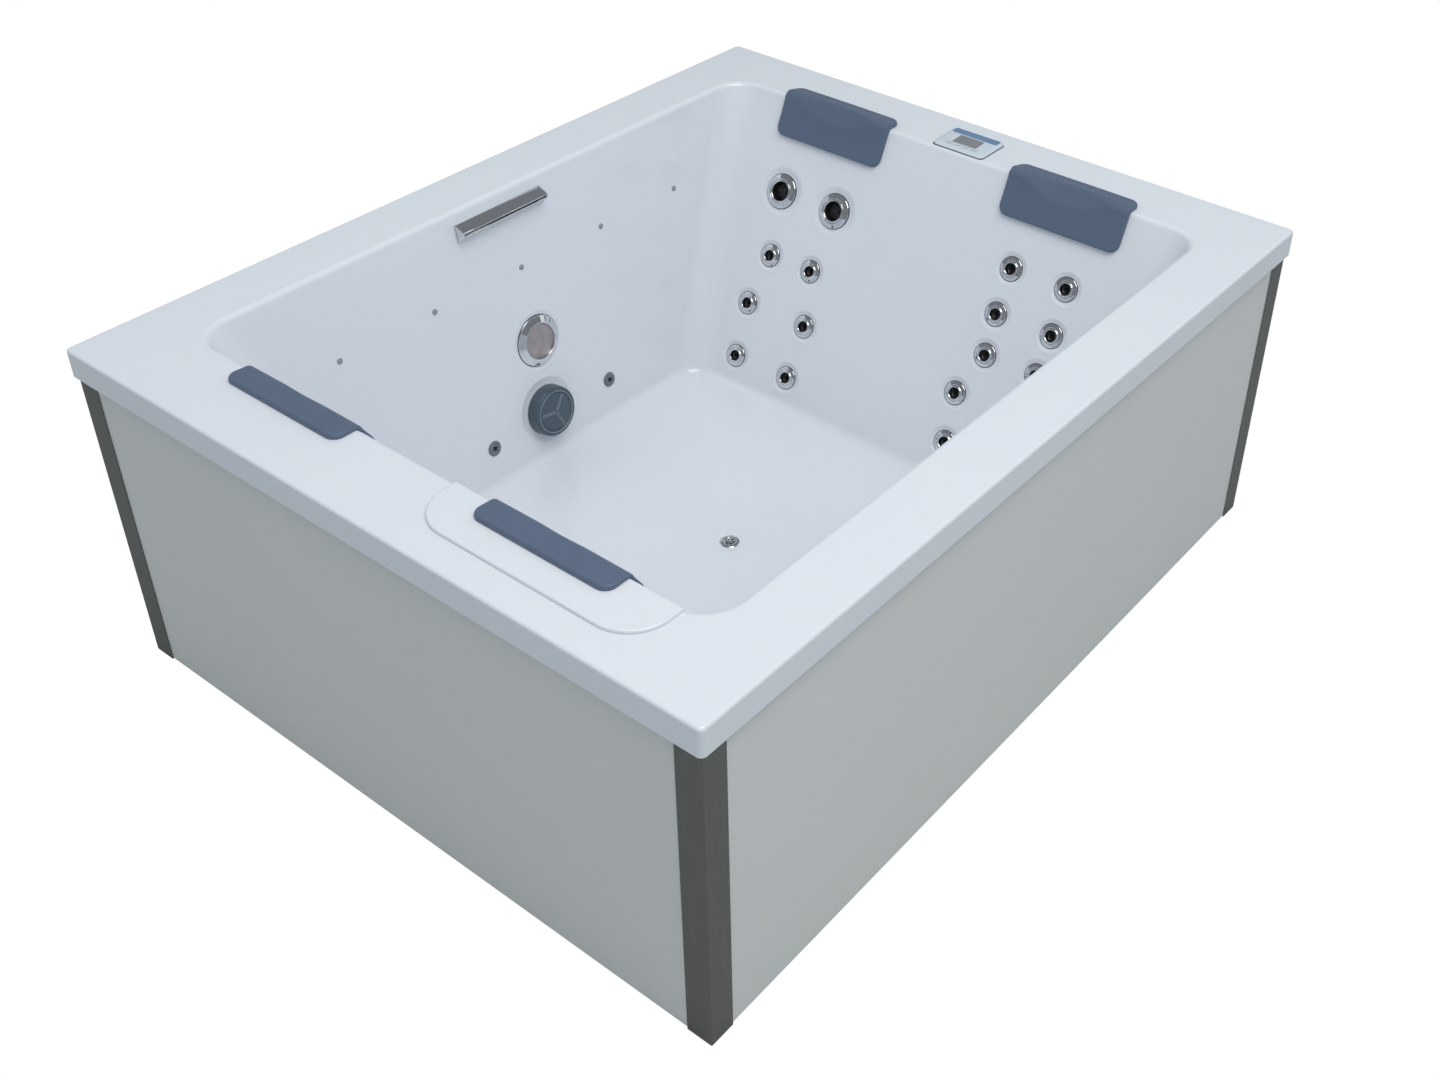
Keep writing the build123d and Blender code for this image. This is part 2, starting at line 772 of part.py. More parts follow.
def air_injector():
    """Low dome with a star-shaped outlet, and a stem through the wall."""
    body = extrude(RegularPolygon(injector_radius, fine_sides), 3, taper=60)
    body += prism(hex_sides, injector_radius / 2, -injector_stem, 0)
    star = [Rot(0, 0, 60 * i) * Box(injector_radius, 2.5, 10) for i in range(3)]
    return body - star


def waterline_light():
    """Small light with a flange and a stem."""
    flange = extrude(RegularPolygon(waterline_radius, plain_sides), 3, taper=25)
    return flange + prism(hex_sides, waterline_radius / 2, -20, 0)


def spout_duct(gap):
    """Flat duct through the wall behind the spout."""
    z = spout_z - spout_drop / 2
    near = side_wall(z) - spout_wall + min(gap, 0)
    far = delivery_y + air_pipe_radius + 4 + gap
    half = spout_length / 2 - 30 + gap
    high = duct_height / 2 + gap
    return block((spout_x - half, spout_x + half), (near, far), (z - high, z + high))


def waterfall_spout():
    """Chrome hood of triangular section with an open slot under its lip, and the duct behind it."""
    plane = on_light_wall(spout_x, spout_z - spout_drop / 2)
    half_drop = spout_drop / 2
    profile = Polyline((0, half_drop), (spout_reach, 4), (spout_reach, -3), (3, -half_drop), (0, -half_drop),
                       close=True)
    section = Plane((0, 0, 0), x_dir=(0, 0, 1), z_dir=(1, 0, 0)) * make_face(profile)
    hood = extrude(section, spout_length / 2, both=True)
    inner = Polyline((spout_wall, half_drop - 7), (spout_reach - spout_wall, 1), (spout_reach + 1, 1),
                     (spout_reach + 1, -spout_slot), (spout_reach - 2 * spout_wall, -spout_slot),
                     (spout_wall, 5 - half_drop), close=True)
    hollow = Plane((0, 0, 0), x_dir=(0, 0, 1), z_dir=(1, 0, 0)) * make_face(inner)
    hood -= extrude(hollow, spout_length / 2 - spout_wall, both=True)
    return plane.location * hood + spout_duct(0) - spout_duct(-spout_wall)


# Drain

def drain_flange():
    """Chrome ring in the floor's dish, with a threaded neck below."""
    neck = drain_well_radius + waste_wall
    ring = extrude(RegularPolygon(drain_radius, fine_sides), flange_rise, taper=45)
    ring += prism(plain_sides, neck, -drain_neck, 0)
    return Pos(0, 0, floor_z) * (ring - prism(fine_sides, drain_well_radius, -drain_neck, flange_rise))


def drain_grille():
    """Perforated strainer inside the ring."""
    radius = drain_well_radius - seat_gap
    disc = prism(fine_sides, radius, -2, 1)
    holes = [Rot(0, 0, 60 * i) * Pos(radius * 0.6, 0, 0) * prism(hex_sides, 2.4, -5, 5) for i in range(6)]
    return Pos(0, 0, floor_z) * (disc - holes - prism(hex_sides, 2.4, -5, 5))


def waste_pipe():
    """Waste pipe from the drain to a spigot behind the light side's panel."""
    along = Pos(0, 0, waste_z) * Rot(-90, 0, 0)
    top = floor_z - drain_neck
    bore = waste_spigot_radius - waste_wall
    sump_bore = drain_sump_radius - waste_wall
    outer = prism(plain_sides, drain_sump_radius, deck_z + seat_gap, top)
    outer += along * prism(plain_sides, waste_radius, 0, waste_end_y - waste_spigot)
    outer += along * post_solid(waste_spigot_radius, 0, waste_end_y)
    inner = prism(plain_sides, sump_bore, waste_z - bore, top - waste_wall)
    inner += along * prism(plain_sides, bore, 0, waste_end_y)
    return outer - inner - prism(plain_sides, drain_well_radius, waste_z, top)


# Keypad

def keypad_well(gap):
    """Recess under the keypad through the rim."""
    depth = keypad_depth - 24 + 2 * gap
    length = keypad_length - 24 + 2 * gap
    return Pos(keypad_x, keypad_y, rim_height - 8) * Box(depth, length, 40)


def keypad_outline(inset):
    """Rounded outline of the keypad, drawn in by an inset."""
    return Pos(keypad_x, keypad_y) * RectangleRounded(keypad_depth - 2 * inset, keypad_length - 2 * inset, 10)


def display_x():
    """X of the middle of the display."""
    return keypad_x


def key_places():
    """Centres of the keys, in a row on the bather's side of the display."""
    x = display_x() - display_depth / 2 - key_width
    first = keypad_y - key_pitch * (key_count - 1) / 2
    return [(x, first + i * key_pitch) for i in range(key_count)]


def keypad_seal():
    """Flat gasket under the bezel."""
    face = keypad_outline(-1) - Pos(keypad_x, keypad_y) * Rectangle(keypad_depth - 24, keypad_length - 24)
    return extrude(Pos(0, 0, rim_height) * face, seal_thickness)


def keypad_bezel():
    """Bezel with sloping edges, pockets for the display and keys, and a box below the rim."""
    low = rim_height + seal_thickness
    top = low + keypad_height
    plate = extrude(Pos(0, 0, low) * keypad_outline(0), keypad_height)
    plate = chamfer(plate.faces().sort_by(Axis.Z)[-1].edges(), 3)
    plate += Pos(keypad_x, keypad_y, low - 14) * Box(keypad_depth - 24, keypad_length - 24, 28)
    pocket = Pos(display_x(), keypad_y, top) * Box(display_depth + slide_gap, display_length + slide_gap, 6)
    plate -= pocket
    for x, y in key_places():
        plate -= Pos(x, y, top) * Box(key_width + 2 * seat_gap, key_length + 2 * seat_gap, 8)
    return plate


def keypad_display():
    """Grey display window set in the bezel."""
    top = rim_height + seal_thickness + keypad_height
    return Pos(display_x(), keypad_y, top - 1.75) * Box(display_depth, display_length, 2.5)


def keypad_key(x, y):
    """One key, standing a little proud and free to travel down."""
    top = rim_height + seal_thickness + keypad_height + key_rise
    floor = rim_height + seal_thickness + keypad_height - 4
    low = floor + key_travel + seat_gap
    cap = block((x - key_width / 2, x + key_width / 2), (y - key_length / 2, y + key_length / 2), (low, top))
    return fillet(cap.faces().sort_by(Axis.Z)[-1].edges(), 0.6)


# Equipment

def pump_body():
    """Volute with its suction port towards the filter and its delivery port upwards."""
    z = pump_z
    pump_x = bucket_x()
    along = Rot(90, 0, 0)
    volute = Pos(pump_x, pump_y + volute_length, z) * along * prism(fine_sides, volute_radius, 0, volute_length)
    socket = pipe_radius + housing_wall
    suction = Pos(pump_x, pump_y, z) * along * prism(plain_sides, socket, 0, port_length)
    delivery = Pos(pump_x, pump_y + volute_length / 2, z)
    delivery *= prism(plain_sides, socket, 0, volute_radius + port_length)
    foot = block((pump_x - foot_half, pump_x + foot_half), (pump_y + 10, pump_y + volute_length), (deck_z, z))
    return volute + suction + delivery + foot


def pump_motor():
    """Motor behind the volute, with its end shield, foot and terminal box."""
    x = bucket_x()
    start = pump_y + volute_length
    middle = start + motor_length / 2
    along = Rot(-90, 0, 0)
    body = Pos(x, start, pump_z) * along * prism(fine_sides, motor_radius, 0, motor_length)
    body += Pos(x, start, pump_z) * along * prism(hex_sides, motor_radius * 0.8, motor_length, motor_length + 20)
    foot = block((x - foot_half, x + foot_half), (start + 30, start + motor_length - 30), (deck_z, pump_z))
    terminal = Pos(x + 40, middle, pump_z + 60) * Box(60, 90, 30)
    return body + foot + terminal


def heater():
    """Stainless heater tube with its two unions."""
    tube = prism(plain_sides, heater_radius, 0, heater_length)
    unions = [prism(hex_sides, heater_radius + 8, low, low + 30) for low in (0, heater_length - 30)]
    return Pos(bucket_x(), heater_start_y, upper_pipe_z) * Rot(-90, 0, 0) * (tube + unions)


def suction_pipes():
    """Pipes from the suction fitting and the filter's bucket to the pump."""
    plane = on_light_wall(suction_x, suction_z)
    side = behind(plane, sump_depth + pipe_bend + pipe_radius / 2)
    turn_x = filter_wall(side.Z) - 160
    main = pipe(pipe_radius, pipe_bend, behind(plane, sump_depth), side, (turn_x, side.Y, side.Z),
                (turn_x, bucket_y, side.Z), (bucket_x(), bucket_y, side.Z))
    riser = pipe(pipe_radius, pipe_bend, (bucket_x(), pump_y - port_length, pump_z),
                 (bucket_x(), bucket_y, pump_z), (bucket_x(), bucket_y, bucket_low()))
    return main + riser


def delivery_pipes():
    """Pipes from the pump through the heater to the manifold, with a riser to the spout."""
    x = bucket_x()
    up_y = pump_y + volute_length / 2
    high = pump_z + volute_radius + port_length
    heater_end = heater_start_y + heater_length
    lift = pipe(pipe_radius, pipe_bend, (x, up_y, high), (x, up_y, upper_pipe_z), (x, heater_start_y, upper_pipe_z))
    main = pipe(pipe_radius, pipe_bend, (x, heater_end, upper_pipe_z), (x, delivery_y, upper_pipe_z),
                (manifold_x, delivery_y, upper_pipe_z), (manifold_x, manifold_length / 2, upper_pipe_z))
    spout_low = spout_z - spout_drop / 2 - duct_height / 2
    riser = Pos(spout_x, delivery_y, 0) * prism(plain_sides, air_pipe_radius, upper_pipe_z, spout_low)
    return group([lift, main + riser])


def manifold():
    """Capped pipe behind the jets, with a stub for each hose."""
    body = Rot(90, 0, 0) * prism(plain_sides, manifold_radius, -manifold_length / 2, manifold_length / 2)
    pitch = manifold_length / stub_count
    for i in range(stub_count):
        y = pitch * (i + 0.5) - manifold_length / 2
        body += Pos(0, y, 0) * Rot(0, -90, 0) * prism(hex_sides, 8, 0, manifold_radius + 25)
    return Pos(manifold_x, 0, upper_pipe_z) * body


def air_blower():
    """Blower can on the tray, with its outlet on top."""
    low = deck_z
    foot = blower_radius + 5
    body = prism(fine_sides, blower_radius, low, low + blower_height)
    body += block((-foot, foot), (-foot, foot), (low, low + 8))
    outlet = prism(plain_sides, air_pipe_radius + 4, low, low + blower_height + blower_outlet)
    return Pos(blower_x, blower_y, 0) * (body + outlet)


def air_pipes():
    """Air line with its high loop, and a drop to each injector."""
    start = (blower_x, blower_y, deck_z + blower_height + blower_outlet)
    low_y = side_wall(air_line_z) + shell_wall + 25
    far, near = injector_planes()
    far_bend = behind(far, injector_stem + air_bend + air_pipe_radius / 2)
    near_bend = behind(near, injector_stem + air_bend + air_pipe_radius / 2)
    loop_x = blower_x - 140
    main = pipe(air_pipe_radius, air_bend, start, (blower_x, blower_y, air_loop_z), (loop_x, blower_y, air_loop_z),
                (loop_x, blower_y, air_line_z), (loop_x - 100, low_y, air_line_z), (far_bend.X, low_y, air_line_z),
                far_bend, behind(far, injector_stem))
    drop = pipe(air_pipe_radius, air_bend, (near_bend.X, low_y, air_line_z), near_bend,
                behind(near, injector_stem))
    return main + drop


def control_box():
    """Control box on the tray, with a lid and the gland for the supply cable."""
    x = bucket_x()
    half = control_depth / 2
    high = deck_z + control_height
    box = block((x - half, x + half), (control_y - control_length, control_y), (deck_z, high))
    lid = block((x - half - 4, x + half + 4), (control_y - control_length - 4, control_y + 4), (high - 30, high))
    end = control_y - control_length
    gland = prism(hex_sides, gland_radius, 0, gland_length) - post_solid(gland_bore, 0, gland_length)
    return box + lid + Pos(x, end, deck_z + gland_height) * Rot(90, 0, 0) * gland


def on(planes, make):
    """One solid on each plane, as the separate solids of a node."""
    return group([plane.location * make() for plane in planes])


def build_parts():
    """Every node of the tub, by name."""
    light = on_light_wall(light_x, light_z).location
    suction = on_light_wall(suction_x, suction_z).location
    parts = {"tub_shell": tub_shell()}
    for name, axis, side in (("filter_end", "x", -1), ("keypad_end", "x", 1), ("front", "y", -1), ("rear", "y", 1)):
        parts[f"skirt_panel_{name}"] = skirt_panel(axis, side)
    for x_name, x_side in (("filter", -1), ("keypad", 1)):
        for y_name, y_side in (("front", -1), ("rear", 1)):
            parts[f"corner_post_{x_name}_{y_name}"] = corner_post(x_side, y_side)
    parts["base_frame"] = base_frame()
    parts["rubber_feet"] = rubber_feet()
    parts["base_tray"] = base_tray()
    parts["floor_bearers"] = floor_bearers()
    parts["frame_uprights"] = frame_uprights()
    parts["filter_lid"] = filter_lid()
    parts["filter_housing"] = filter_housing()
    parts["filter_cartridge"] = filter_cartridge()
    parts["pillow_filter_rear"] = placed_pillow(-1, filter_pillows_y[0])
    parts["pillow_filter_lid"] = placed_pillow(-1, filter_pillows_y[1], lid_thickness + seat_gap)
    parts["pillow_keypad_rear"] = placed_pillow(1, keypad_pillows_y[0])
    parts["pillow_keypad_front"] = placed_pillow(1, keypad_pillows_y[1])
    parts["keypad_seal"] = keypad_seal()
    parts["keypad_bezel"] = keypad_bezel()
    parts["keypad_display"] = keypad_display()
    for i, (x, y) in enumerate(key_places(), 1):
        parts[f"keypad_key_{i}"] = keypad_key(x, y)
    for i, plane in enumerate(large_jet_planes(), 1):
        parts[f"large_jet_face_{i}"] = plane.location * large_jet_face()
        parts[f"large_jet_rotor_{i}"] = plane.location * jet_rotor()
    parts["large_jet_bodies"] = on(large_jet_planes(), large_jet_body)
    parts["small_jet_rings"] = on(small_jet_planes(), small_jet_ring)
    parts["small_jet_bodies"] = on(small_jet_planes(), small_jet_body)
    parts["waterfall_spout"] = waterfall_spout()
    parts["light_ring"] = light * light_ring()
    parts["light_lens"] = light * light_lens()
    parts["light_housing"] = light * light_housing()
    parts["suction_cover"] = suction * suction_cover()
    parts["suction_body"] = suction * suction_body()
    parts["air_injectors"] = on(injector_planes(), air_injector)
    parts["waterline_lights"] = on(waterline_planes(), waterline_light)
    parts["drain_flange"] = drain_flange()
    parts["drain_grille"] = drain_grille()
    parts["waste_pipe"] = waste_pipe()
    parts["pump_body"] = pump_body()
    parts["pump_motor"] = pump_motor()
    parts["heater"] = heater()
    parts["manifold"] = manifold()
    parts["suction_pipes"] = suction_pipes()
    parts["delivery_pipes"] = delivery_pipes()
    parts["air_blower"] = air_blower()
    parts["air_pipes"] = air_pipes()
    parts["control_box"] = control_box()
    return parts


for name, shape in build_parts().items():
    export_step(shape, f"parts/{name}.step")
    print(name, len(shape.solids()), round(shape.volume / 1000), "cm3")
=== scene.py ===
# %% [markdown]
# # A hot tub, dressed surface by surface
#
# The object is a rectangular hot tub: a white acrylic shell with leaning backrests, grey skirt panels held
# by four metal corner posts, and soft neck pillows, chrome jets, a waterfall spout, a light and a keypad.
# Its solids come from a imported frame. This file gives them their finishes and adds the pieces whose fine
# shape matters most. Every new piece is a function of two parameters worked out on a grid with numpy.

# %% Load the frame
from math import atan, hypot, pi, radians

import bmesh
import bpy
import numpy as np
from mathutils import Matrix


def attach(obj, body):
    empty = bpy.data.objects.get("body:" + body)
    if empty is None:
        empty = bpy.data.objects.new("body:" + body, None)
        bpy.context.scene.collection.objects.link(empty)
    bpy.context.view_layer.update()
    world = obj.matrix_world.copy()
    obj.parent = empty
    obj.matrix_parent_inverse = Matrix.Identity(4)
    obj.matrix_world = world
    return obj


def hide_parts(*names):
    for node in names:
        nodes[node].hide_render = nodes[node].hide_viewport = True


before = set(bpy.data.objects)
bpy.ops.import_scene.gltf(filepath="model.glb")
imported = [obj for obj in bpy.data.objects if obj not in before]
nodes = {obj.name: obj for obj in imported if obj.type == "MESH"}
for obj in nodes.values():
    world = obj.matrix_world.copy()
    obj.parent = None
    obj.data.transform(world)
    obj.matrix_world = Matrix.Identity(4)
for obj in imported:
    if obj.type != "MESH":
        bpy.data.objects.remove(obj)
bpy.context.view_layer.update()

# %% [markdown]
# ## Where the walls of the well stand
#
# All four walls lean, so a jet or a lamp needs a small coordinate system of its own: an origin on the wall,
# one axis along it, one up its slope and one into the well. A fitting can then be drawn as if it lay on a
# table. The numbers are the tub's own sizes in millimetres, and they turn into metres only at the end.

# %% Places on the walls
MM = 0.001
RIM_Z = 800
FILTER_EDGE_X = -836
KEYPAD_EDGE_X = 850
SIDE_EDGE_Y = 688
END_SLOPE = 330 / 700
SIDE_SLOPE = 113 / 700
FLOOR_Z = 100


def axes_from(normal, right):
    """Three unit axes as columns: right, up = normal x right, and the normal itself."""
    out = np.array(normal, float) / np.linalg.norm(normal)
    along = np.array(right, float)
    return np.stack([along, np.cross(out, along), out], axis=1)


def on_keypad_wall(y, z):
    """Origin and axes on the keypad end's wall, whose x falls by the slope for each step down."""
    origin = np.array([KEYPAD_EDGE_X - (RIM_Z - z) * END_SLOPE, y, z])
    return origin, axes_from((-1, 0, END_SLOPE), (0, -1, 0))


def on_light_wall(x, z):
    """Origin and axes on the light side's wall, which leans less than the end walls."""
    origin = np.array([x, SIDE_EDGE_Y - (RIM_Z - z) * SIDE_SLOPE, z])
    return origin, axes_from((0, -1, SIDE_SLOPE), (1, 0, 0))


def on_floor(x, y):
    """Origin and axes on the flat floor of the well."""
    return np.array([x, y, FLOOR_Z], float), np.eye(3)


print("backrests lean", round(atan(END_SLOPE) * 180 / pi, 1), "degrees from upright")

# %% [markdown]
# ## From a grid of points to a mesh
#
# A grid of points becomes a surface when each cell of four neighbours is filled by one face. Two grids that
# share nothing can still go into one mesh, so sixteen jet rings are one piece. The faces are worked out as
# one array, because a loop over each vertex would be slow and hard to read.

# %% Grid helpers
def grid_faces(rows, columns, closed=False):
    """Face (i, j) joins points (i, j), (i, j+1), (i+1, j+1) and (i+1, j). A closed grid joins its ends."""
    last = columns if closed else columns - 1
    i, j = np.meshgrid(np.arange(rows - 1), np.arange(last), indexing="ij")
    first, second = i * columns + j, i * columns + (j + 1) % columns
    return np.stack([first, second, second + columns, first + columns], axis=-1).reshape(-1, 4)


def sheet_of(grid, closed=False):
    """Points and faces of one grid of shape (rows, columns, 3)."""
    rows, columns = grid.shape[:2]
    return grid.reshape(-1, 3), grid_faces(rows, columns, closed)


def joined(sheets):
    """Several sheets as one, each one's faces counted on from the points before it."""
    starts = np.cumsum([0] + [len(points) for points, faces in sheets[:-1]])
    points = np.concatenate([points for points, faces in sheets])
    faces = np.concatenate([sheet[1] + start for start, sheet in zip(starts, sheets)])
    return points, faces


def placed(sheet, place):
    """A sheet drawn flat, moved onto a place: origin + x right + y up + z out."""
    points, faces = sheet
    origin, axes = place
    return points @ axes.T + origin, faces


def repeated(sheet, places):
    """The same sheet on every one of the places, as one sheet."""
    return joined([placed(sheet, place) for place in places])


# %% Make a piece of a sheet
def closed_up(mesh, outward):
    """Merges points that lie on each other, so seams and poles close, and turns a closed surface outwards."""
    work = bmesh.new()
    work.from_mesh(mesh)
    bmesh.ops.remove_doubles(work, verts=work.verts, dist=0.00001)
    bmesh.ops.dissolve_degenerate(work, edges=work.edges, dist=0.000001)
    if outward:
        bmesh.ops.recalc_face_normals(work, faces=work.faces)
    work.to_mesh(mesh)
    work.free()


def piece(name, sheet, body, finish, stands_for=(), outward=False, hollow=None):
    """Mesh object from a sheet in millimetres. It rides on a body and may stand for solids of the frame.

    Hollow is an optional share for each point, which a finish can read as a depth.
    """
    points, faces = sheet
    mesh = bpy.data.meshes.new(name)
    mesh.from_pydata((points * MM).tolist(), [], faces.tolist())
    if hollow is not None:
        mesh.attributes.new("hollow", "FLOAT", "POINT").data.foreach_set("value", hollow)
    closed_up(mesh, outward)
    mesh.polygons.foreach_set("use_smooth", np.full(len(mesh.polygons), True))
    mesh.materials.append(finish)
    made = bpy.data.objects.new(name, mesh)
    bpy.context.scene.collection.objects.link(made)
    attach(made, body)
    if stands_for:
        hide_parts(*stands_for)
    print(name, len(points), "points on", body)
    return made


# %% [markdown]
# ## Turned profiles
#
# Rings, lenses and nozzles are turned on a lathe, so each is one outline of radius and height carried round
# an axis. A sharp corner never catches light the way a real one does, so the outline's corners are rounded
# first. Two extra points near each end of a straight run keep the shading flat where the metal is flat.

# %% Rounded outline and lathe
def rounded(corners, radius=0.5, steps=4):
    """Outline whose corners are curves: (1-t)^2 a + 2 t (1-t) corner + t^2 b, with a and b a radius away."""
    corners = np.array(corners, float)
    t = np.linspace(0, 1, steps + 1)[:, None]
    runs = [corners[:1]]
    for before, corner, after in zip(corners, corners[1:], corners[2:]):
        back, ahead = before - corner, after - corner
        near = min(radius, np.linalg.norm(back) / 2.2, np.linalg.norm(ahead) / 2.2)
        a = corner + back / np.linalg.norm(back) * near
        b = corner + ahead / np.linalg.norm(ahead) * near
        bend = (1 - t) ** 2 * a + 2 * t * (1 - t) * corner + t ** 2 * b
        runs.append(np.concatenate([a[None] * 0.98 + (a + back * 0.02)[None] * 0.02, bend]))
    runs.append(corners[-1:])
    return np.concatenate(runs)


def lathe(outline, sides=96):
    """Outline of (radius, height) turned about Z: x = r cos a, y = r sin a, z = h.

    Outlines run from the outer edge to the middle, so the faces of a raised shape point outwards.
    """
    angle = np.arange(sides) * 2 * pi / sides
    radius, height = np.array(outline, float).T
    x, y = np.outer(radius, np.cos(angle)), np.outer(radius, np.sin(angle))
    z = np.repeat(height[:, None], sides, axis=1)
    return sheet_of(np.stack([x, y, z], axis=-1), closed=True)


# %% [markdown]
# ## Shared effects
#
# Three effects turn up in many finishes. Moulded and painted surfaces are never quite one colour, they have
# a fine relief that breaks up reflections, and drawn metal has lines along one direction. Each effect is
# one node group with named inputs, and each material places it with its own values.

# %% Node group helper
def node_group(name, inputs, outputs):
    """Empty shader group with named sockets, and its input and output nodes."""
    group = bpy.data.node_groups.new(name, "ShaderNodeTree")
    for label, kind, value in inputs:
        socket = group.interface.new_socket(name=label, in_out="INPUT", socket_type=kind)
        socket.default_value = value
    for label, kind in outputs:
        group.interface.new_socket(name=label, in_out="OUTPUT", socket_type=kind)
    return group, group.nodes.new("NodeGroupInput"), group.nodes.new("NodeGroupOutput")


# %% Uneven tone
def make_uneven_tone():
    """Two colours mixed by soft noise: mix = clamp(0.5 + (noise - 0.5) x contrast)."""
    group, given, put = node_group(
        "uneven_tone",
        [("Colour", "NodeSocketColor", (0.8, 0.8, 0.8, 1)),
         ("Other Colour", "NodeSocketColor", (0.7, 0.7, 0.7, 1)),
         ("Scale", "NodeSocketFloat", 6.0), ("Contrast", "NodeSocketFloat", 1.0)],
        [("Colour", "NodeSocketColor"), ("Mask", "NodeSocketFloat")])
    links = group.links.new
    place = group.nodes.new("ShaderNodeTexCoord")
    noise = group.nodes.new("ShaderNodeTexNoise")
    noise.inputs["Detail"].default_value = 4
    centred = group.nodes.new("ShaderNodeMath")
    centred.operation = "SUBTRACT"
    centred.inputs[1].default_value = 0.5
    spread = group.nodes.new("ShaderNodeMath")
    spread.operation = "MULTIPLY_ADD"
    spread.inputs[2].default_value = 0.5
    spread.use_clamp = True
    mix = group.nodes.new("ShaderNodeMix")
    mix.data_type = "RGBA"
    links(place.outputs["Object"], noise.inputs["Vector"])
    links(given.outputs["Scale"], noise.inputs["Scale"])
    links(noise.outputs["Fac"], centred.inputs[0])
    links(centred.outputs[0], spread.inputs[0])
    links(given.outputs["Contrast"], spread.inputs[1])
    links(spread.outputs[0], mix.inputs["Factor"])
    links(given.outputs["Colour"], mix.inputs["A"])
    links(given.outputs["Other Colour"], mix.inputs["B"])
    links(mix.outputs["Result"], put.inputs["Colour"])
    links(spread.outputs[0], put.inputs["Mask"])
    return group


uneven_tone = make_uneven_tone()
print("group", uneven_tone.name)


# %% Fine relief
def make_fine_relief():
    """Normal of a surface whose height is noise x height, in metres."""
    group, given, put = node_group(
        "fine_relief",
        [("Scale", "NodeSocketFloat", 400.0), ("Height", "NodeSocketFloat", 0.0002)],
        [("Normal", "NodeSocketVector")])
    links = group.links.new
    place = group.nodes.new("ShaderNodeTexCoord")
    noise = group.nodes.new("ShaderNodeTexNoise")
    noise.inputs["Detail"].default_value = 3
    bump = group.nodes.new("ShaderNodeBump")
    links(place.outputs["Object"], noise.inputs["Vector"])
    links(given.outputs["Scale"], noise.inputs["Scale"])
    links(noise.outputs["Fac"], bump.inputs["Height"])
    links(given.outputs["Height"], bump.inputs["Distance"])
    links(bump.outputs["Normal"], put.inputs["Normal"])
    return group


fine_relief = make_fine_relief()
print("group", fine_relief.name)


# %% Drawn lines
def make_drawn_lines():
    """Noise stretched along one axis by a vector scale, as a mask, a colour and a normal."""
    group, given, put = node_group(
        "drawn_lines",
        [("Stretch", "NodeSocketVector", (400, 400, 6)), ("Colour", "NodeSocketColor", (0.3, 0.3, 0.3, 1)),
         ("Line Colour", "NodeSocketColor", (0.4, 0.4, 0.4, 1)), ("Height", "NodeSocketFloat", 0.0001)],
        [("Colour", "NodeSocketColor"), ("Mask", "NodeSocketFloat"), ("Normal", "NodeSocketVector")])
    links = group.links.new
    place = group.nodes.new("ShaderNodeTexCoord")
    stretch = group.nodes.new("ShaderNodeVectorMath")
    stretch.operation = "MULTIPLY"
    noise = group.nodes.new("ShaderNodeTexNoise")
    noise.inputs["Scale"].default_value = 1
    noise.inputs["Detail"].default_value = 2
    mix = group.nodes.new("ShaderNodeMix")
    mix.data_type = "RGBA"
    bump = group.nodes.new("ShaderNodeBump")
    links(place.outputs["Object"], stretch.inputs[0])
    links(given.outputs["Stretch"], stretch.inputs[1])
    links(stretch.outputs[0], noise.inputs["Vector"])
    links(noise.outputs["Fac"], mix.inputs["Factor"])
    links(given.outputs["Colour"], mix.inputs["A"])
    links(given.outputs["Line Colour"], mix.inputs["B"])
    links(noise.outputs["Fac"], bump.inputs["Height"])
    links(given.outputs["Height"], bump.inputs["Distance"])
    links(mix.outputs["Result"], put.inputs["Colour"])
    links(noise.outputs["Fac"], put.inputs["Mask"])
    links(bump.outputs["Normal"], put.inputs["Normal"])
    return group


drawn_lines = make_drawn_lines()
print("group", drawn_lines.name)


# %% Material helpers
def new_finish(name, colour, roughness, **values):
    """Material with its Principled shader, and constant values set on the shader's own sockets."""
    made = bpy.data.materials.new(name)
    made.use_nodes = True
    shader = made.node_tree.nodes["Principled BSDF"]
    shader.inputs["Base Color"].default_value = (*colour, 1)
    shader.inputs["Roughness"].default_value = roughness
    for socket, value in values.items():
        shader.inputs[socket.replace("_", " ")].default_value = value
    return made, shader


def place_group(made, group, **values):
    """A group's node in a material, with its inputs set by name."""
    node = made.node_tree.nodes.new("ShaderNodeGroup")
    node.node_tree = group
    for socket, value in values.items():
        node.inputs[socket.replace("_", " ")].default_value = value
    return node


def ranged(made, mask, low, high):
    """A mask turned into a number from low to high."""
    spread = made.node_tree.nodes.new("ShaderNodeMapRange")
    spread.inputs["To Min"].default_value = low
    spread.inputs["To Max"].default_value = high
    made.node_tree.links.new(mask, spread.inputs["Value"])
    return spread.outputs["Result"]


def mottled(name, colour, other, tone_scale, roughness, relief_scale, relief, **values):
    """Finish with uneven colour and gloss, and a fine relief."""
    made, shader = new_finish(name, colour, roughness[0], **values)
    links = made.node_tree.links.new
    tone = place_group(made, uneven_tone, Colour=(*colour, 1), Other_Colour=(*other, 1), Scale=tone_scale)
    relief_node = place_group(made, fine_relief, Scale=relief_scale, Height=relief)
    links(tone.outputs["Colour"], shader.inputs["Base Color"])
    links(ranged(made, tone.outputs["Mask"], *roughness), shader.inputs["Roughness"])
    links(relief_node.outputs["Normal"], shader.inputs["Normal"])
    return made


def dress(finish, *names):
    """Puts a finish on solids of the frame."""
    for name in names:
        solid = nodes[name]
        if solid.material_slots:
            solid.material_slots[0].material = finish
        else:
            solid.data.materials.append(finish)
    print(finish.name, "on", len(names), "solids")


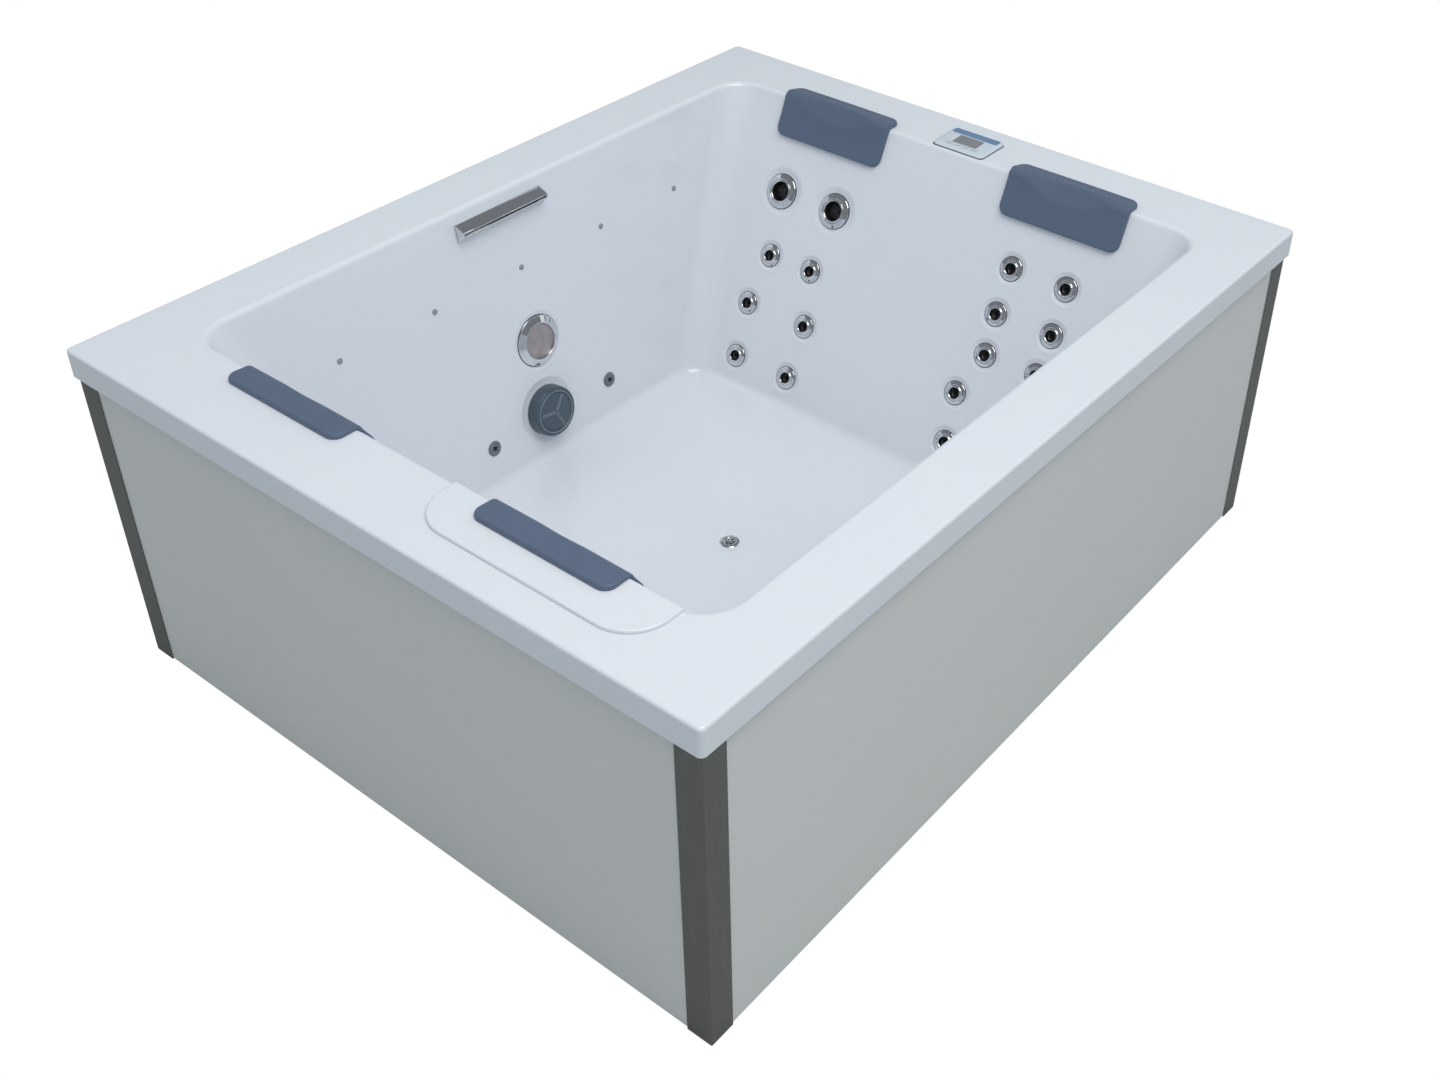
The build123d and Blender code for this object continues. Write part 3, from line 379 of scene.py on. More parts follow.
# %% [markdown]
# ## Acrylic shell and lid
#
# The shell is one sheet of cast acrylic, drawn over a mould and backed with resin. It is a cool white with a
# clear glossy skin. A coat over a softer base gives both the crisp reflection and the milky depth, and a very
# slow relief keeps long reflections from being as straight as glass.

# %% Acrylic
acrylic = mottled("acrylic_white", (0.74, 0.765, 0.81), (0.71, 0.74, 0.79), 2.5, (0.22, 0.28), 9.0, 0.0006,
                  Coat_Weight=0.35, Coat_Roughness=0.06)
dress(acrylic, "tub_shell", "filter_lid")

# %% [markdown]
# ## Skirt panels, posts and base
#
# The panels are flat sheets with a satin skin, a shade darker and greyer than the shell. The corner posts
# are extruded aluminium, anodised dark, and drawing them leaves fine lines from top to bottom.

# %% Skirt and base finishes
panel_skin = mottled("panel_grey", (0.665, 0.675, 0.655), (0.64, 0.65, 0.63), 3.0, (0.3, 0.38), 160.0,
                     0.00006)
dress(panel_skin, "skirt_panel_filter_end", "skirt_panel_keypad_end", "skirt_panel_front", "skirt_panel_rear")


def make_post_metal():
    """Anodised aluminium with lines along Z."""
    made, shader = new_finish("post_metal", (0.1, 0.1, 0.095), 0.4, Metallic=0.85)
    lines = place_group(made, drawn_lines, Stretch=(900, 900, 5), Colour=(0.14, 0.14, 0.132, 1),
                        Line_Colour=(0.24, 0.24, 0.225, 1), Height=0.00004)
    links = made.node_tree.links.new
    links(lines.outputs["Colour"], shader.inputs["Base Color"])
    links(ranged(made, lines.outputs["Mask"], 0.34, 0.5), shader.inputs["Roughness"])
    links(lines.outputs["Normal"], shader.inputs["Normal"])
    return made


post_metal = make_post_metal()
dress(post_metal, "corner_post_filter_front", "corner_post_filter_rear", "corner_post_keypad_front",
      "corner_post_keypad_rear")
zinc = mottled("frame_steel", (0.42, 0.43, 0.44), (0.33, 0.34, 0.36), 40.0, (0.35, 0.55), 300.0, 0.00005,
               Metallic=0.9)
dress(zinc, "base_frame", "frame_uprights")
black_rubber = mottled("foot_rubber", (0.025, 0.025, 0.026), (0.035, 0.035, 0.036), 60.0, (0.7, 0.85), 900.0,
                       0.0001)
dress(black_rubber, "rubber_feet", "keypad_seal")
tray_skin = mottled("tray_plastic", (0.05, 0.05, 0.052), (0.04, 0.04, 0.042), 12.0, (0.5, 0.65), 500.0,
                    0.0001)
dress(tray_skin, "base_tray")


# %% Timber of the bearers
def make_bearer_wood():
    """Planed softwood with its grain along Y."""
    made, shader = new_finish("bearer_wood", (0.45, 0.3, 0.16), 0.6)
    grain = place_group(made, drawn_lines, Stretch=(120, 3, 120), Colour=(0.5, 0.34, 0.19, 1),
                        Line_Colour=(0.3, 0.18, 0.09, 1), Height=0.0002)
    made.node_tree.links.new(grain.outputs["Colour"], shader.inputs["Base Color"])
    made.node_tree.links.new(grain.outputs["Normal"], shader.inputs["Normal"])
    return made


dress(make_bearer_wood(), "floor_bearers")

# %% [markdown]
# ## Chrome, moulded plastics and pipework
#
# Chrome is a mirror with a trace of blur. The nozzles are matte black, the suction cover is a slate plastic,
# and behind the skirt the pipes and housings are white pressure-pipe plastic.

# %% Chrome and plastics
chrome = mottled("chrome", (0.74, 0.75, 0.77), (0.69, 0.70, 0.72), 30.0, (0.05, 0.10), 700.0, 0.000004,
                 Metallic=1.0)
dress(chrome, "large_jet_face_1", "large_jet_face_2", "small_jet_rings", "waterfall_spout", "light_ring",
      "drain_flange")
nozzle_black = mottled("black_plastic", (0.008, 0.008, 0.009), (0.012, 0.012, 0.013), 200.0, (0.35, 0.5),
                       1500.0, 0.00003)
dress(nozzle_black, "large_jet_rotor_1", "large_jet_rotor_2", "small_jet_bodies", "drain_grille")
slate = mottled("suction_plastic", (0.052, 0.082, 0.108), (0.064, 0.096, 0.122), 90.0, (0.3, 0.42), 1200.0,
                0.00003)
dress(slate, "suction_cover")
injector_skin = mottled("injector_plastic", (0.12, 0.15, 0.175), (0.15, 0.18, 0.2), 150.0, (0.3, 0.4), 1200.0,
                        0.00003)
dress(injector_skin, "air_injectors")
pipe_white = mottled("pvc_white", (0.68, 0.68, 0.66), (0.6, 0.6, 0.57), 25.0, (0.35, 0.5), 700.0, 0.00004)
dress(pipe_white, "large_jet_bodies", "light_housing", "suction_body", "filter_housing", "waste_pipe",
      "manifold", "suction_pipes", "delivery_pipes", "air_pipes")
pump_skin = mottled("pump_black", (0.02, 0.02, 0.022), (0.03, 0.03, 0.032), 50.0, (0.4, 0.6), 500.0, 0.00008)
dress(pump_skin, "pump_body", "air_blower", "control_box")
motor_skin = mottled("motor_paint", (0.03, 0.04, 0.06), (0.04, 0.05, 0.075), 40.0, (0.3, 0.45), 400.0,
                     0.00006)
dress(motor_skin, "pump_motor")


# %% Brushed heater and pleated filter
def make_heater_steel():
    """Stainless steel brushed round its axis, which lies along Y."""
    made, shader = new_finish("heater_steel", (0.5, 0.5, 0.5), 0.3, Metallic=1.0)
    lines = place_group(made, drawn_lines, Stretch=(10, 900, 10), Colour=(0.42, 0.42, 0.42, 1),
                        Line_Colour=(0.6, 0.6, 0.6, 1), Height=0.00003)
    made.node_tree.links.new(lines.outputs["Colour"], shader.inputs["Base Color"])
    made.node_tree.links.new(lines.outputs["Normal"], shader.inputs["Normal"])
    return made


def make_filter_fleece():
    """White fleece with fibres along Z."""
    made, shader = new_finish("filter_white", (0.8, 0.82, 0.85), 0.9, Sheen_Weight=0.3)
    fibres = place_group(made, drawn_lines, Stretch=(1500, 1500, 200), Colour=(0.72, 0.75, 0.79, 1),
                         Line_Colour=(0.88, 0.9, 0.92, 1), Height=0.0002)
    made.node_tree.links.new(fibres.outputs["Colour"], shader.inputs["Base Color"])
    made.node_tree.links.new(fibres.outputs["Normal"], shader.inputs["Normal"])
    return made


dress(make_heater_steel(), "heater")
dress(make_filter_fleece(), "filter_cartridge")

# %% [markdown]
# ## Neck pillows
#
# Each pillow is foam moulded with its own leather-like skin. A thin flap lies on the rim, the fold goes over
# the well's edge, and a thicker face hangs down the wall. It could be a padded box pushed about by cloth
# simulation, but moulded foam keeps its shape, so the surface is computed: a sheet with rounded corners is
# laid over the edge, given thickness, and a shallow scoop for the neck is pressed into the fold. The filter
# end's pillows have a longer flap and a thinner fold than the keypad end's.

# %% Sizes of a pillow
PILLOW_LENGTH = 328
PILLOW_FLAP = 46
PILLOW_DROP = 92
PILLOW_CORNER = 24
SKIN_GAP = 0.4
LONG_FLAP = 56
FLAP_THICK = 9.5
FOLD_THICK = 14.0
THIN_FOLD = 7.5
FACE_THICK = 12.5
EDGE_WALL = 2.6
EDGE_ROUND = 4.4
EDGE_RADIUS = 9.0
SCOOP_LENGTH = 230
SCOOP_DEPTH = 9.5


# %% Lay the sheet over the rim's edge
def over_the_edge(run, height):
    """Point a height above a path that comes in along the rim, bends round the edge and goes down the wall.

    Run is the length along the path from the bend's middle. The bend is an arc, and outside it the path is
    straight, so point = path(run) + height x normal(run).
    """
    bend = pi / 2 - atan(END_SLOPE)
    half = EDGE_RADIUS * bend / 2
    inset = EDGE_RADIUS * np.tan(bend / 2)
    turn = np.clip((run + half) / EDGE_RADIUS, 0, bend)
    beyond_low = np.minimum(run + half, 0)
    beyond_high = np.maximum(run - half, 0)
    normal_x, normal_z = -np.sin(turn), np.cos(turn)
    along_x, along_z = -np.cos(turn), -np.sin(turn)
    x = inset + EDGE_RADIUS * normal_x + normal_x * height + along_x * (beyond_low + beyond_high)
    z = EDGE_RADIUS * (normal_z - 1) + normal_z * height + along_z * (beyond_low + beyond_high)
    return x, z


# %% Round the corners and edges of the sheet
def inset_and_rise(depth):
    """How far in and how high the edge has come after a depth along it: a wall, then a quarter circle."""
    arc = pi / 2 * EDGE_ROUND
    angle = np.clip((depth - EDGE_WALL) / EDGE_ROUND, 0, pi / 2)
    rise = np.clip(depth, 0, EDGE_WALL) + EDGE_ROUND * np.sin(angle)
    inset = EDGE_ROUND * (1 - np.cos(angle)) + np.maximum(depth - EDGE_WALL - arc, 0)
    return inset, rise / (EDGE_WALL + EDGE_ROUND)


def corner_map(y, s, half_y, half_s, corner):
    """Moves a square grid onto a rectangle with round corners: each corner square becomes a quarter disc."""
    out_y = np.maximum(np.abs(y) - (half_y - corner), 0)
    out_s = np.maximum(np.abs(s) - (half_s - corner), 0)
    reach = np.hypot(out_y, out_s)
    shrink = np.where(reach > 0, np.maximum(out_y, out_s) / np.maximum(reach, 1e-9), 1)
    return out_y * shrink, out_s * shrink


# %% Compute one pillow
def pillow_top(flap, columns=150, rows=104):
    """Upper surface of a pillow at the keypad end, centred on y = 0, with its run, as a grid.

    The grid reaches past the outline by the length of the edge's own curve, and each point's distance from
    that larger outline says how far in and how high it lies.
    """
    arc = pi / 2 * EDGE_ROUND
    extra = EDGE_WALL + arc - EDGE_ROUND
    half_y, half_s = PILLOW_LENGTH / 2, (flap + PILLOW_DROP * hypot(1, END_SLOPE)) / 2
    middle_s = half_s - flap
    big_y, big_s, corner = half_y + extra, half_s + extra, PILLOW_CORNER + extra
    y, s = np.meshgrid(spaced(big_y, columns), spaced(big_s, rows), indexing="xy")
    out_y, out_s = corner_map(y, s, big_y, big_s, corner)
    reach = np.hypot(out_y, out_s)
    inset, share = inset_and_rise(corner - reach)
    share = np.where(reach > 0, share, 1.0)
    scale = np.where(reach > 0, np.maximum(PILLOW_CORNER - inset, 0) / np.maximum(reach, 1e-9), 1)
    core_y, core_s = half_y - PILLOW_CORNER, half_s - PILLOW_CORNER
    y = np.sign(y) * (np.minimum(np.abs(y), core_y) + out_y * scale)
    s = np.sign(s) * (np.minimum(np.abs(s), core_s) + out_s * scale) + middle_s
    return y, s, share


def spaced(half, count):
    """Points from -half to half, closer together near both ends: half x (1.35 t - 0.35 t^3)."""
    t = np.linspace(-1, 1, count)
    return half * (1.35 * t - 0.35 * t ** 3)


# %% Thickness and scoop
def soft_step(value):
    """0 below 0, 1 above 1 and 3 v^2 - 2 v^3 between."""
    v = np.clip(value, 0, 1)
    return v * v * (3 - 2 * v)


def thickness(y, s, fold):
    """Flap, fold and face thickness blended along the run, with a slight crown across the length."""
    to_fold = soft_step((s + 34) / 30)
    to_face = soft_step((s - 6) / 44)
    thick = FLAP_THICK + (fold - FLAP_THICK) * to_fold + (FACE_THICK - fold) * to_face
    sharper = 2.6 * np.exp(-(s / 7.0) ** 2) * (fold > FLAP_THICK)
    return thick + sharper + 0.8 * np.cos(pi * y / PILLOW_LENGTH)


def scooped(points):
    """Points inside a large ball are pushed back to its surface: c + (p - c) / |p - c| x radius.

    The push fades in over a millimetre, so the lower edge of the scoop is crisp but not a knife edge.
    """
    ball = (SCOOP_LENGTH ** 2 / 4 + SCOOP_DEPTH ** 2) / (2 * SCOOP_DEPTH)
    tilt = np.array([-0.80, 0, 0.60])
    fold = np.array([-FOLD_THICK * 0.95, 0, FLAP_THICK * 0.95])
    centre = fold + tilt * (ball - SCOOP_DEPTH)
    away = points - centre
    distance = np.linalg.norm(away, axis=-1, keepdims=True)
    depth = ball - distance
    push = 0.5 * (depth + np.sqrt(depth ** 2 + 1.2))
    return points + away / distance * np.where(depth > -12, push, 0)


def pillow_sheet(flap, fold):
    """Whole pillow in its own place: the top grid, and a flat underside that shares its outline."""
    y, s, share = pillow_top(flap)
    x, z = over_the_edge(s, SKIN_GAP + share * thickness(y, s, fold))
    top = scooped(np.stack([x, y, z + SKIN_GAP], axis=-1))
    x, z = over_the_edge(s, np.full_like(s, SKIN_GAP))
    under = np.stack([x, y, z + SKIN_GAP], axis=-1)
    top[[0, -1]], top[:, [0, -1]] = under[[0, -1]], under[:, [0, -1]]
    points, faces = joined([sheet_of(top), sheet_of(under)])
    half = len(faces) // 2
    return points, np.concatenate([faces[:half], faces[half:, ::-1]])


# %% Skin of the pillows
def make_pillow_skin():
    """Slate polyurethane skin: a pebbled grain from cells, uneven tone and a soft sheen."""
    made, shader = new_finish("pillow_foam", (0.10, 0.14, 0.21), 0.5, Sheen_Weight=0.12, Sheen_Roughness=0.4)
    tree = made.node_tree
    tone = place_group(made, uneven_tone, Colour=(0.100, 0.138, 0.212, 1),
                       Other_Colour=(0.088, 0.124, 0.194, 1), Scale=14.0)
    place = tree.nodes.new("ShaderNodeTexCoord")
    cells = tree.nodes.new("ShaderNodeTexVoronoi")
    cells.feature = "SMOOTH_F1"
    cells.inputs["Scale"].default_value = 620
    fine = place_group(made, fine_relief, Scale=1800.0, Height=0.00006)
    bump = tree.nodes.new("ShaderNodeBump")
    bump.inputs["Distance"].default_value = 0.00025
    bump.invert = True
    links = tree.links.new
    links(place.outputs["Object"], cells.inputs["Vector"])
    links(cells.outputs["Distance"], bump.inputs["Height"])
    links(fine.outputs["Normal"], bump.inputs["Normal"])
    links(bump.outputs["Normal"], shader.inputs["Normal"])
    links(tone.outputs["Colour"], shader.inputs["Base Color"])
    links(ranged(made, tone.outputs["Mask"], 0.42, 0.55), shader.inputs["Roughness"])
    return made


pillow_skin = make_pillow_skin()

# %% Put the four pillows in place
LID_RISE = 7.3


def pillow_place(end, y, lift=0.0):
    """Origin and axes of a pillow. At the filter end it is turned half round about Z."""
    if end > 0:
        return np.array([KEYPAD_EDGE_X, y, RIM_Z + lift]), np.eye(3)
    return np.array([FILTER_EDGE_X, y, RIM_Z + lift]), np.diag([-1.0, -1.0, 1.0])


lying = pillow_sheet(LONG_FLAP, THIN_FOLD)
folded = pillow_sheet(PILLOW_FLAP, FOLD_THICK)
for node, form, place in (
        ("pillow_filter_rear", lying, pillow_place(-1, 336)),
        ("pillow_filter_lid", lying, pillow_place(-1, -352, LID_RISE)),
        ("pillow_keypad_rear", folded, pillow_place(1, 350)),
        ("pillow_keypad_front", folded, pillow_place(1, -340))):
    cushion = piece("soft_" + node, placed(form, place), node, pillow_skin, [node],
                    outward=True)

# %% [markdown]
# ## Jets
#
# A jet shows as four things: a shallow dish moulded into the wall, a rubber gasket whose black edge past the
# ring is painted shade for the gap round it, a bevelled chrome ring with a raised inner lip, and a black
# mouth.
# All are turned outlines. The dish is a low ring on the wall with a soft lip of its own, and its points carry
# a depth that a bump adds to the lip's inner slope.

# %% Places of the jets
JET_COLUMNS_Y = (364, -332)
LARGE_JET_Z = 583
LARGE_JET_SPACING = 174
REAR_SEAT_ROWS = ((430, 134), (302, 191), (170, 173))
FRONT_SEAT_ROWS = ((603, 154), (498, 158), (404, 146), (299, 240), (185, 212))
large_places = [on_keypad_wall(JET_COLUMNS_Y[0] + s * LARGE_JET_SPACING / 2, LARGE_JET_Z) for s in (1, -1)]
small_places = [on_keypad_wall(middle + s * spacing / 2, z)
                for middle, rows in zip(JET_COLUMNS_Y, (REAR_SEAT_ROWS, FRONT_SEAT_ROWS))
                for z, spacing in rows for s in (1, -1)]
print(len(large_places), "large and", len(small_places), "small jets")

# %% Large jets
LARGE_RING = rounded([(45, 0.4), (45, 3.0), (43.6, 4.4), (34.2, 8.0), (32.6, 8.0), (31.6, 6.6), (30.6, 6.6),
                      (29.8, 8.8), (27.0, 9.6), (25.4, 8.0), (25.0, 2.0), (24.9, -16)], 0.7)
LARGE_MOUTH = rounded([(24.8, 6.4), (24.2, 5.6), (23.6, -3.0), (23.6, -20)], 0.5)
ROTOR = rounded([(23.2, -21), (23.2, -9), (21.0, -7), (12, -6.2), (0, -6.0)], 1.2)
OUTLET = rounded([(6.4, -7), (6.4, -3.8), (5.2, -3.2), (4.4, -4.6), (4.2, -12), (0, -12.2)], 0.6)
for i, place in enumerate(large_places, 1):
    piece(f"jet_bezel_{i}", placed(lathe(LARGE_RING, 128), place), f"jet_face_{i}", chrome,
          [f"large_jet_face_{i}"])
    piece(f"jet_lining_{i}", placed(lathe(LARGE_MOUTH), place), f"jet_face_{i}", nozzle_black)
    turned_third = [(np.array([13 * np.cos(a), 13 * np.sin(a), 0]), np.eye(3)) for a in (0, 2.094, 4.189)]
    rotor = joined([lathe(ROTOR)] + [repeated(lathe(OUTLET, 32), turned_third)])
    piece(f"jet_rotor_dome_{i}", placed(rotor, place), f"jet_rotor_{i}", nozzle_black,
          [f"large_jet_rotor_{i}"])

# %% Small jets
SMALL_RING = rounded([(29.5, 0.2), (29.5, 1.6), (28.6, 2.6), (21.2, 5.0), (20.2, 4.6), (19.2, 4.8),
                      (17.6, 6.6), (15.8, 7.0), (14.2, 5.8), (13.7, 2.0), (13.6, -6)], 0.6)
SMALL_MOUTH = rounded([(13.5, 4.8), (13.1, -3), (8.6, -6.4), (6.4, -4.6), (5.0, -4.4), (4.0, -6), (3.6, -12),
                       (0, -12)], 0.5)
piece("jet_rings", repeated(lathe(SMALL_RING, 64), small_places), "tub", chrome,
      ["small_jet_rings"])
piece("jet_mouths", repeated(lathe(SMALL_MOUTH, 32), small_places), "tub", nozzle_black)

# %% Gaskets under the rings, their black edges painted shade
# Each black rubber ring reaches past its chrome ring, so its edge is painted shade for the gap round the
# ring.
SMALL_GASKET_SHADE = rounded([(31.0, 0.1), (31.0, 0.9), (30.4, 1.3), (28.5, 1.3)], 0.3)
LARGE_GASKET_SHADE = rounded([(46.8, 0.1), (46.8, 1.1), (46.0, 1.6), (44.0, 1.6)], 0.3)
LIGHT_GASKET_SHADE = rounded([(66.4, 0.1), (66.4, 1.0), (65.8, 1.5), (64.0, 1.5)], 0.3)
gasket_shade_rings = [repeated(lathe(SMALL_GASKET_SHADE, 64), small_places), repeated(lathe(LARGE_GASKET_SHADE), large_places),
               placed(lathe(LIGHT_GASKET_SHADE, 128), on_light_wall(15, 406))]
piece("gasket_shade_rings", joined(gasket_shade_rings), "tub", black_rubber)

# %% Dishes moulded round the jets
def dish(outer, inner, depth, lip=0.8, deepest=6.0, rows=24, sides=96):
    """Low ring whose lip swells and falls, and its hollow share.

    With t from 0 at the outer edge to 1 at the inner one, the share is soft_step(t) x depth / deepest.
    """
    t = np.linspace(0, 1, rows)
    height = 0.12 + lip * soft_step(t / 0.35) * (1 - soft_step((t - 0.35) / 0.65))
    height[0] = -0.1
    sheet = lathe(np.stack([outer + (inner - outer) * t, height], axis=-1), sides)
    return sheet, np.repeat(soft_step(t) * depth / deepest, sides)


def make_dished_acrylic():
    """The shell's acrylic with a bump as deep as six millimetres times the hollow share."""
    made = acrylic.copy()
    made.name = "dished_acrylic"
    tree = made.node_tree
    shader = tree.nodes["Principled BSDF"]
    share = tree.nodes.new("ShaderNodeAttribute")
    share.attribute_name = "hollow"
    bump = tree.nodes.new("ShaderNodeBump")
    bump.invert = True
    bump.inputs["Distance"].default_value = 0.006
    tree.links.new(shader.inputs["Normal"].links[0].from_socket, bump.inputs["Normal"])
    tree.links.new(share.outputs["Fac"], bump.inputs["Height"])
    tree.links.new(bump.outputs["Normal"], shader.inputs["Normal"])
    return made


def dishes(name, groups):
    """One piece of all the given dishes, each at each of its places."""
    sheets = [repeated(form[0], places) for form, places in groups]
    shares = [np.tile(form[1], len(places)) for form, places in groups]
    return piece(name, joined(sheets), "tub", dished_acrylic, hollow=np.concatenate(shares))


dished_acrylic = make_dished_acrylic()
dishes("jet_dishes", [(dish(47, 30, 3.6), small_places), (dish(70, 45, 5.0), large_places)])

# %% [markdown]
# ## Light, suction cover and air inlets
#
# The lamp sits in a wide chrome cone with a frosted lens. Below it the suction cover is a deep puck with a
# grooved face, so that no one body can seal it. The two air inlets have a star-shaped opening, which is one
# formula: the radius of the opening rises and falls six times round the circle.

# %% Light
LIGHT = on_light_wall(15, 406)
LIGHT_RING = rounded([(65, 0.2), (65, 2.6), (63.6, 3.6), (62.4, 3.8), (48.4, 10.8), (46.4, 11.2),
                      (45.2, 10.2), (45.0, 5.0)], 0.6)
LENS = [(45.0, 6.4), (44.0, 6.8), (36, 7.9), (24, 8.8), (12, 9.3), (4, 9.45), (0, 9.5)]
piece("light_bezel", placed(lathe(LIGHT_RING, 160), LIGHT), "tub", chrome, ["light_ring"])


def make_frosted_lens():
    """Frosted plastic over a dark reflector: warm and violet greys in slow clouds."""
    made, shader = new_finish("lens", (0.3, 0.28, 0.3), 0.24, Coat_Weight=0.6, Coat_Roughness=0.08)
    tone = place_group(made, uneven_tone, Colour=(0.235, 0.215, 0.235, 1),
                       Other_Colour=(0.37, 0.33, 0.325, 1), Scale=26.0, Contrast=2.4)
    relief = place_group(made, fine_relief, Scale=260.0, Height=0.0005)
    made.node_tree.links.new(tone.outputs["Colour"], shader.inputs["Base Color"])
    made.node_tree.links.new(relief.outputs["Normal"], shader.inputs["Normal"])
    return made


lens_skin = make_frosted_lens()
dress(lens_skin, "light_lens")
piece("lens_dome", placed(lathe(LENS), LIGHT), "tub", lens_skin, ["light_lens"])

# %% Suction cover
SUCTION = on_light_wall(-2, 225)
PUCK = rounded([(64, 0.3), (65, 2), (64, 28.5), (62.6, 32.0), (60, 34.0), (56, 34.6), (53.0, 34.2),
                (51.6, 31.8), (49.4, 31.8), (48.0, 33.8), (0, 34.2)], 1.2)


def ridge(start, end, width, height, base):
    """Half-round ridge from one point of the face to another, at a base height."""
    start, end = np.array(start, float), np.array(end, float)
    along = np.linspace(0, 1, 9)[:, None, None]
    angle = np.linspace(0, pi, 9)[None, :, None]
    way = (end - start) / np.linalg.norm(end - start)
    side = np.array([-way[1], way[0]])
    flat = start + (end - start) * along + side * np.cos(angle) * width / 2
    z = base + height * np.sin(angle) + 0 * along
    return sheet_of(np.concatenate([flat, z], axis=-1))


def spoke_pair(angle, gap):
    """Two ridges side by side from the middle of the puck to its groove."""
    way, side = np.array([np.cos(angle), np.sin(angle)]), np.array([-np.sin(angle), np.cos(angle)])
    return [ridge(side * g + way * 3, side * g + way * 47.5, 1.7, 1.1, 33.9) for g in (-gap, gap)]


GROOVE_EDGE = rounded([(54.6, 34.1), (54.0, 34.8), (52.8, 34.8), (52.2, 33.6)], 0.3)
spokes = [r for k in range(3) for r in spoke_pair(radians(172 + 120 * k), 2.4)]
piece("suction_puck", placed(lathe(PUCK, 160), SUCTION), "tub", slate, ["suction_cover"])
# The ridges and the groove's edge are a paler slate than the cover's face.
pale_slate = mottled("pale_slate", (0.22, 0.27, 0.31), (0.27, 0.32, 0.36), 90.0, (0.25, 0.35), 1200.0,
                     0.00003)
piece("suction_lines", placed(joined([lathe(GROOVE_EDGE, 160)] + spokes), SUCTION), "tub", pale_slate)

# %% Air inlets and waterline lights
INLETS = [on_light_wall(x, 205) for x in (-184.5, 214)]


def star_inlet(rows=14, sides=96):
    """Flange whose inner edge is a six-pointed star: r = 19.5 + (7 + 1.9 cos 6a - 19.5) t, dipping inside."""
    t, angle = np.meshgrid(np.linspace(0, 1, rows), np.arange(sides) * 2 * pi / sides, indexing="ij")
    star = 7 + 1.9 * np.cos(6 * angle)
    radius = 19.5 + (star - 19.5) * np.clip(t * 1.25, 0, 1)
    height = 0.2 + 3.6 * np.sqrt(np.clip(t * 5, 0, 1)) + 0.8 * t - 12 * np.clip(t - 0.8, 0, 1) * 5 * (t > 0.8)
    return sheet_of(np.stack([radius * np.cos(angle), radius * np.sin(angle), height], axis=-1), closed=True)


INLET_MOUTH = [(9.6, 2.2), (9.4, -2), (6, -7), (0, -8)]
piece("inlet_stars", repeated(star_inlet(), INLETS), "tub", injector_skin,
      ["air_injectors"])
piece("inlet_mouths", repeated(lathe(INLET_MOUTH, 32), INLETS), "tub", nozzle_black)
GLOWS = [on_light_wall(13 + 270 * k, 600) for k in (-2, -1, 0, 1, 2)]
GLOW = rounded([(7, 0), (7, 1.2), (6.2, 2.2), (4.6, 2.6), (4.0, 2.0), (2.6, 3.2), (0, 3.6)], 0.5)
clear_skin = mottled("clear_light", (0.30, 0.34, 0.38), (0.2, 0.23, 0.26), 300.0, (0.06, 0.14), 900.0,
                     0.00003, Coat_Weight=0.7)
dress(clear_skin, "waterline_lights")
piece("waterline_domes", repeated(lathe(GLOW, 32), GLOWS), "tub", clear_skin,
      ["waterline_lights"])

# %% [markdown]
# ## Waterfall spout
#
# The spout is folded from polished sheet: a plate that slopes out and down to a lip, a second plate that
# slopes back to the wall under it, and a thin slot between them where the water leaves. Each plate is a
# rounded outline carried along the wall, and a cheek closes each end.

# %% Spout
SPOUT = on_light_wall(-19, 748)
SPOUT_HALF = 129


def bar(corners, start, end, radius=0.6):
    """Closed outline of (up, out) carried along x from start to end, with a small bevel and closed ends."""
    corners = np.array(corners, float)
    first = (corners[-1] + corners[0]) / 2
    loop = rounded(np.concatenate([[first], corners, [first]]), radius)[:-1]
    middle = loop.mean(axis=0)
    rows = []
    for x, share in ((start, 0.0), (start, 0.96), (start + 0.5, 1.0),
                     (end - 0.5, 1.0), (end, 0.96), (end, 0.0)):
        up, out = (middle + (loop - middle) * share).T
        rows.append(np.stack([np.full_like(up, x), up, out], axis=-1))
    return sheet_of(np.array(rows), closed=True)


TOP_PLATE = [(20.0, 0.4), (20.6, 2.4), (5.0, 28.0), (1.6, 28.0), (1.8, 25.4), (16.6, 0.4)]
LOW_PLATE = [(-2.2, 25.8), (-4.2, 26.4), (-21.4, 2.2), (-20.6, 0.4), (-18.6, 0.6)]
CHEEK = [(21.4, 0.3), (21.8, 2.4), (5.6, 29.4), (-4.0, 28.6), (-23.4, 2.6), (-22.6, 0.3)]
plates = [bar(TOP_PLATE, -SPOUT_HALF, SPOUT_HALF), bar(LOW_PLATE, -SPOUT_HALF, SPOUT_HALF)]
cheeks = [bar(CHEEK, x - 1.5, x + 1.5) for x in (-SPOUT_HALF - 1, SPOUT_HALF + 1)]
piece("spout_plates", placed(joined(plates + cheeks), SPOUT), "tub", chrome, ["waterfall_spout"],
      outward=True)
# A black bar at the back of the slot is painted shade for the dark inside of the slot.
SLOT_SHADE_BAR = [(2.5, 20.0), (2.5, 21.0), (-3.5, 21.0), (-3.5, 20.0)]
slot_shade_bar = bar(SLOT_SHADE_BAR, 1 - SPOUT_HALF, SPOUT_HALF - 1, 0.2)
piece("spout_slot_shade", placed(slot_shade_bar, SPOUT), "tub", nozzle_black, outward=True)

# %% Dishes of the light side
dishes("fitting_dishes", [(dish(84, 64, 1.6), [LIGHT]), (dish(92, 70, 2.2), [SUCTION])])

# %% [markdown]
# ## Drain
#
# The waste in the floor has a chrome flange in a shallow dish and a strainer with six holes. The strainer is
# a polar grid with the faces over each hole left out, and a thin wall is added afterwards.

# %% Drain
DRAIN = on_floor(0, 0)
DRAIN_RING = rounded([(24, 0.2), (24, 1.2), (22.4, 2.6), (17, 3.2), (15, 2.8), (14.2, 1.4), (14.0, -6)], 0.5)


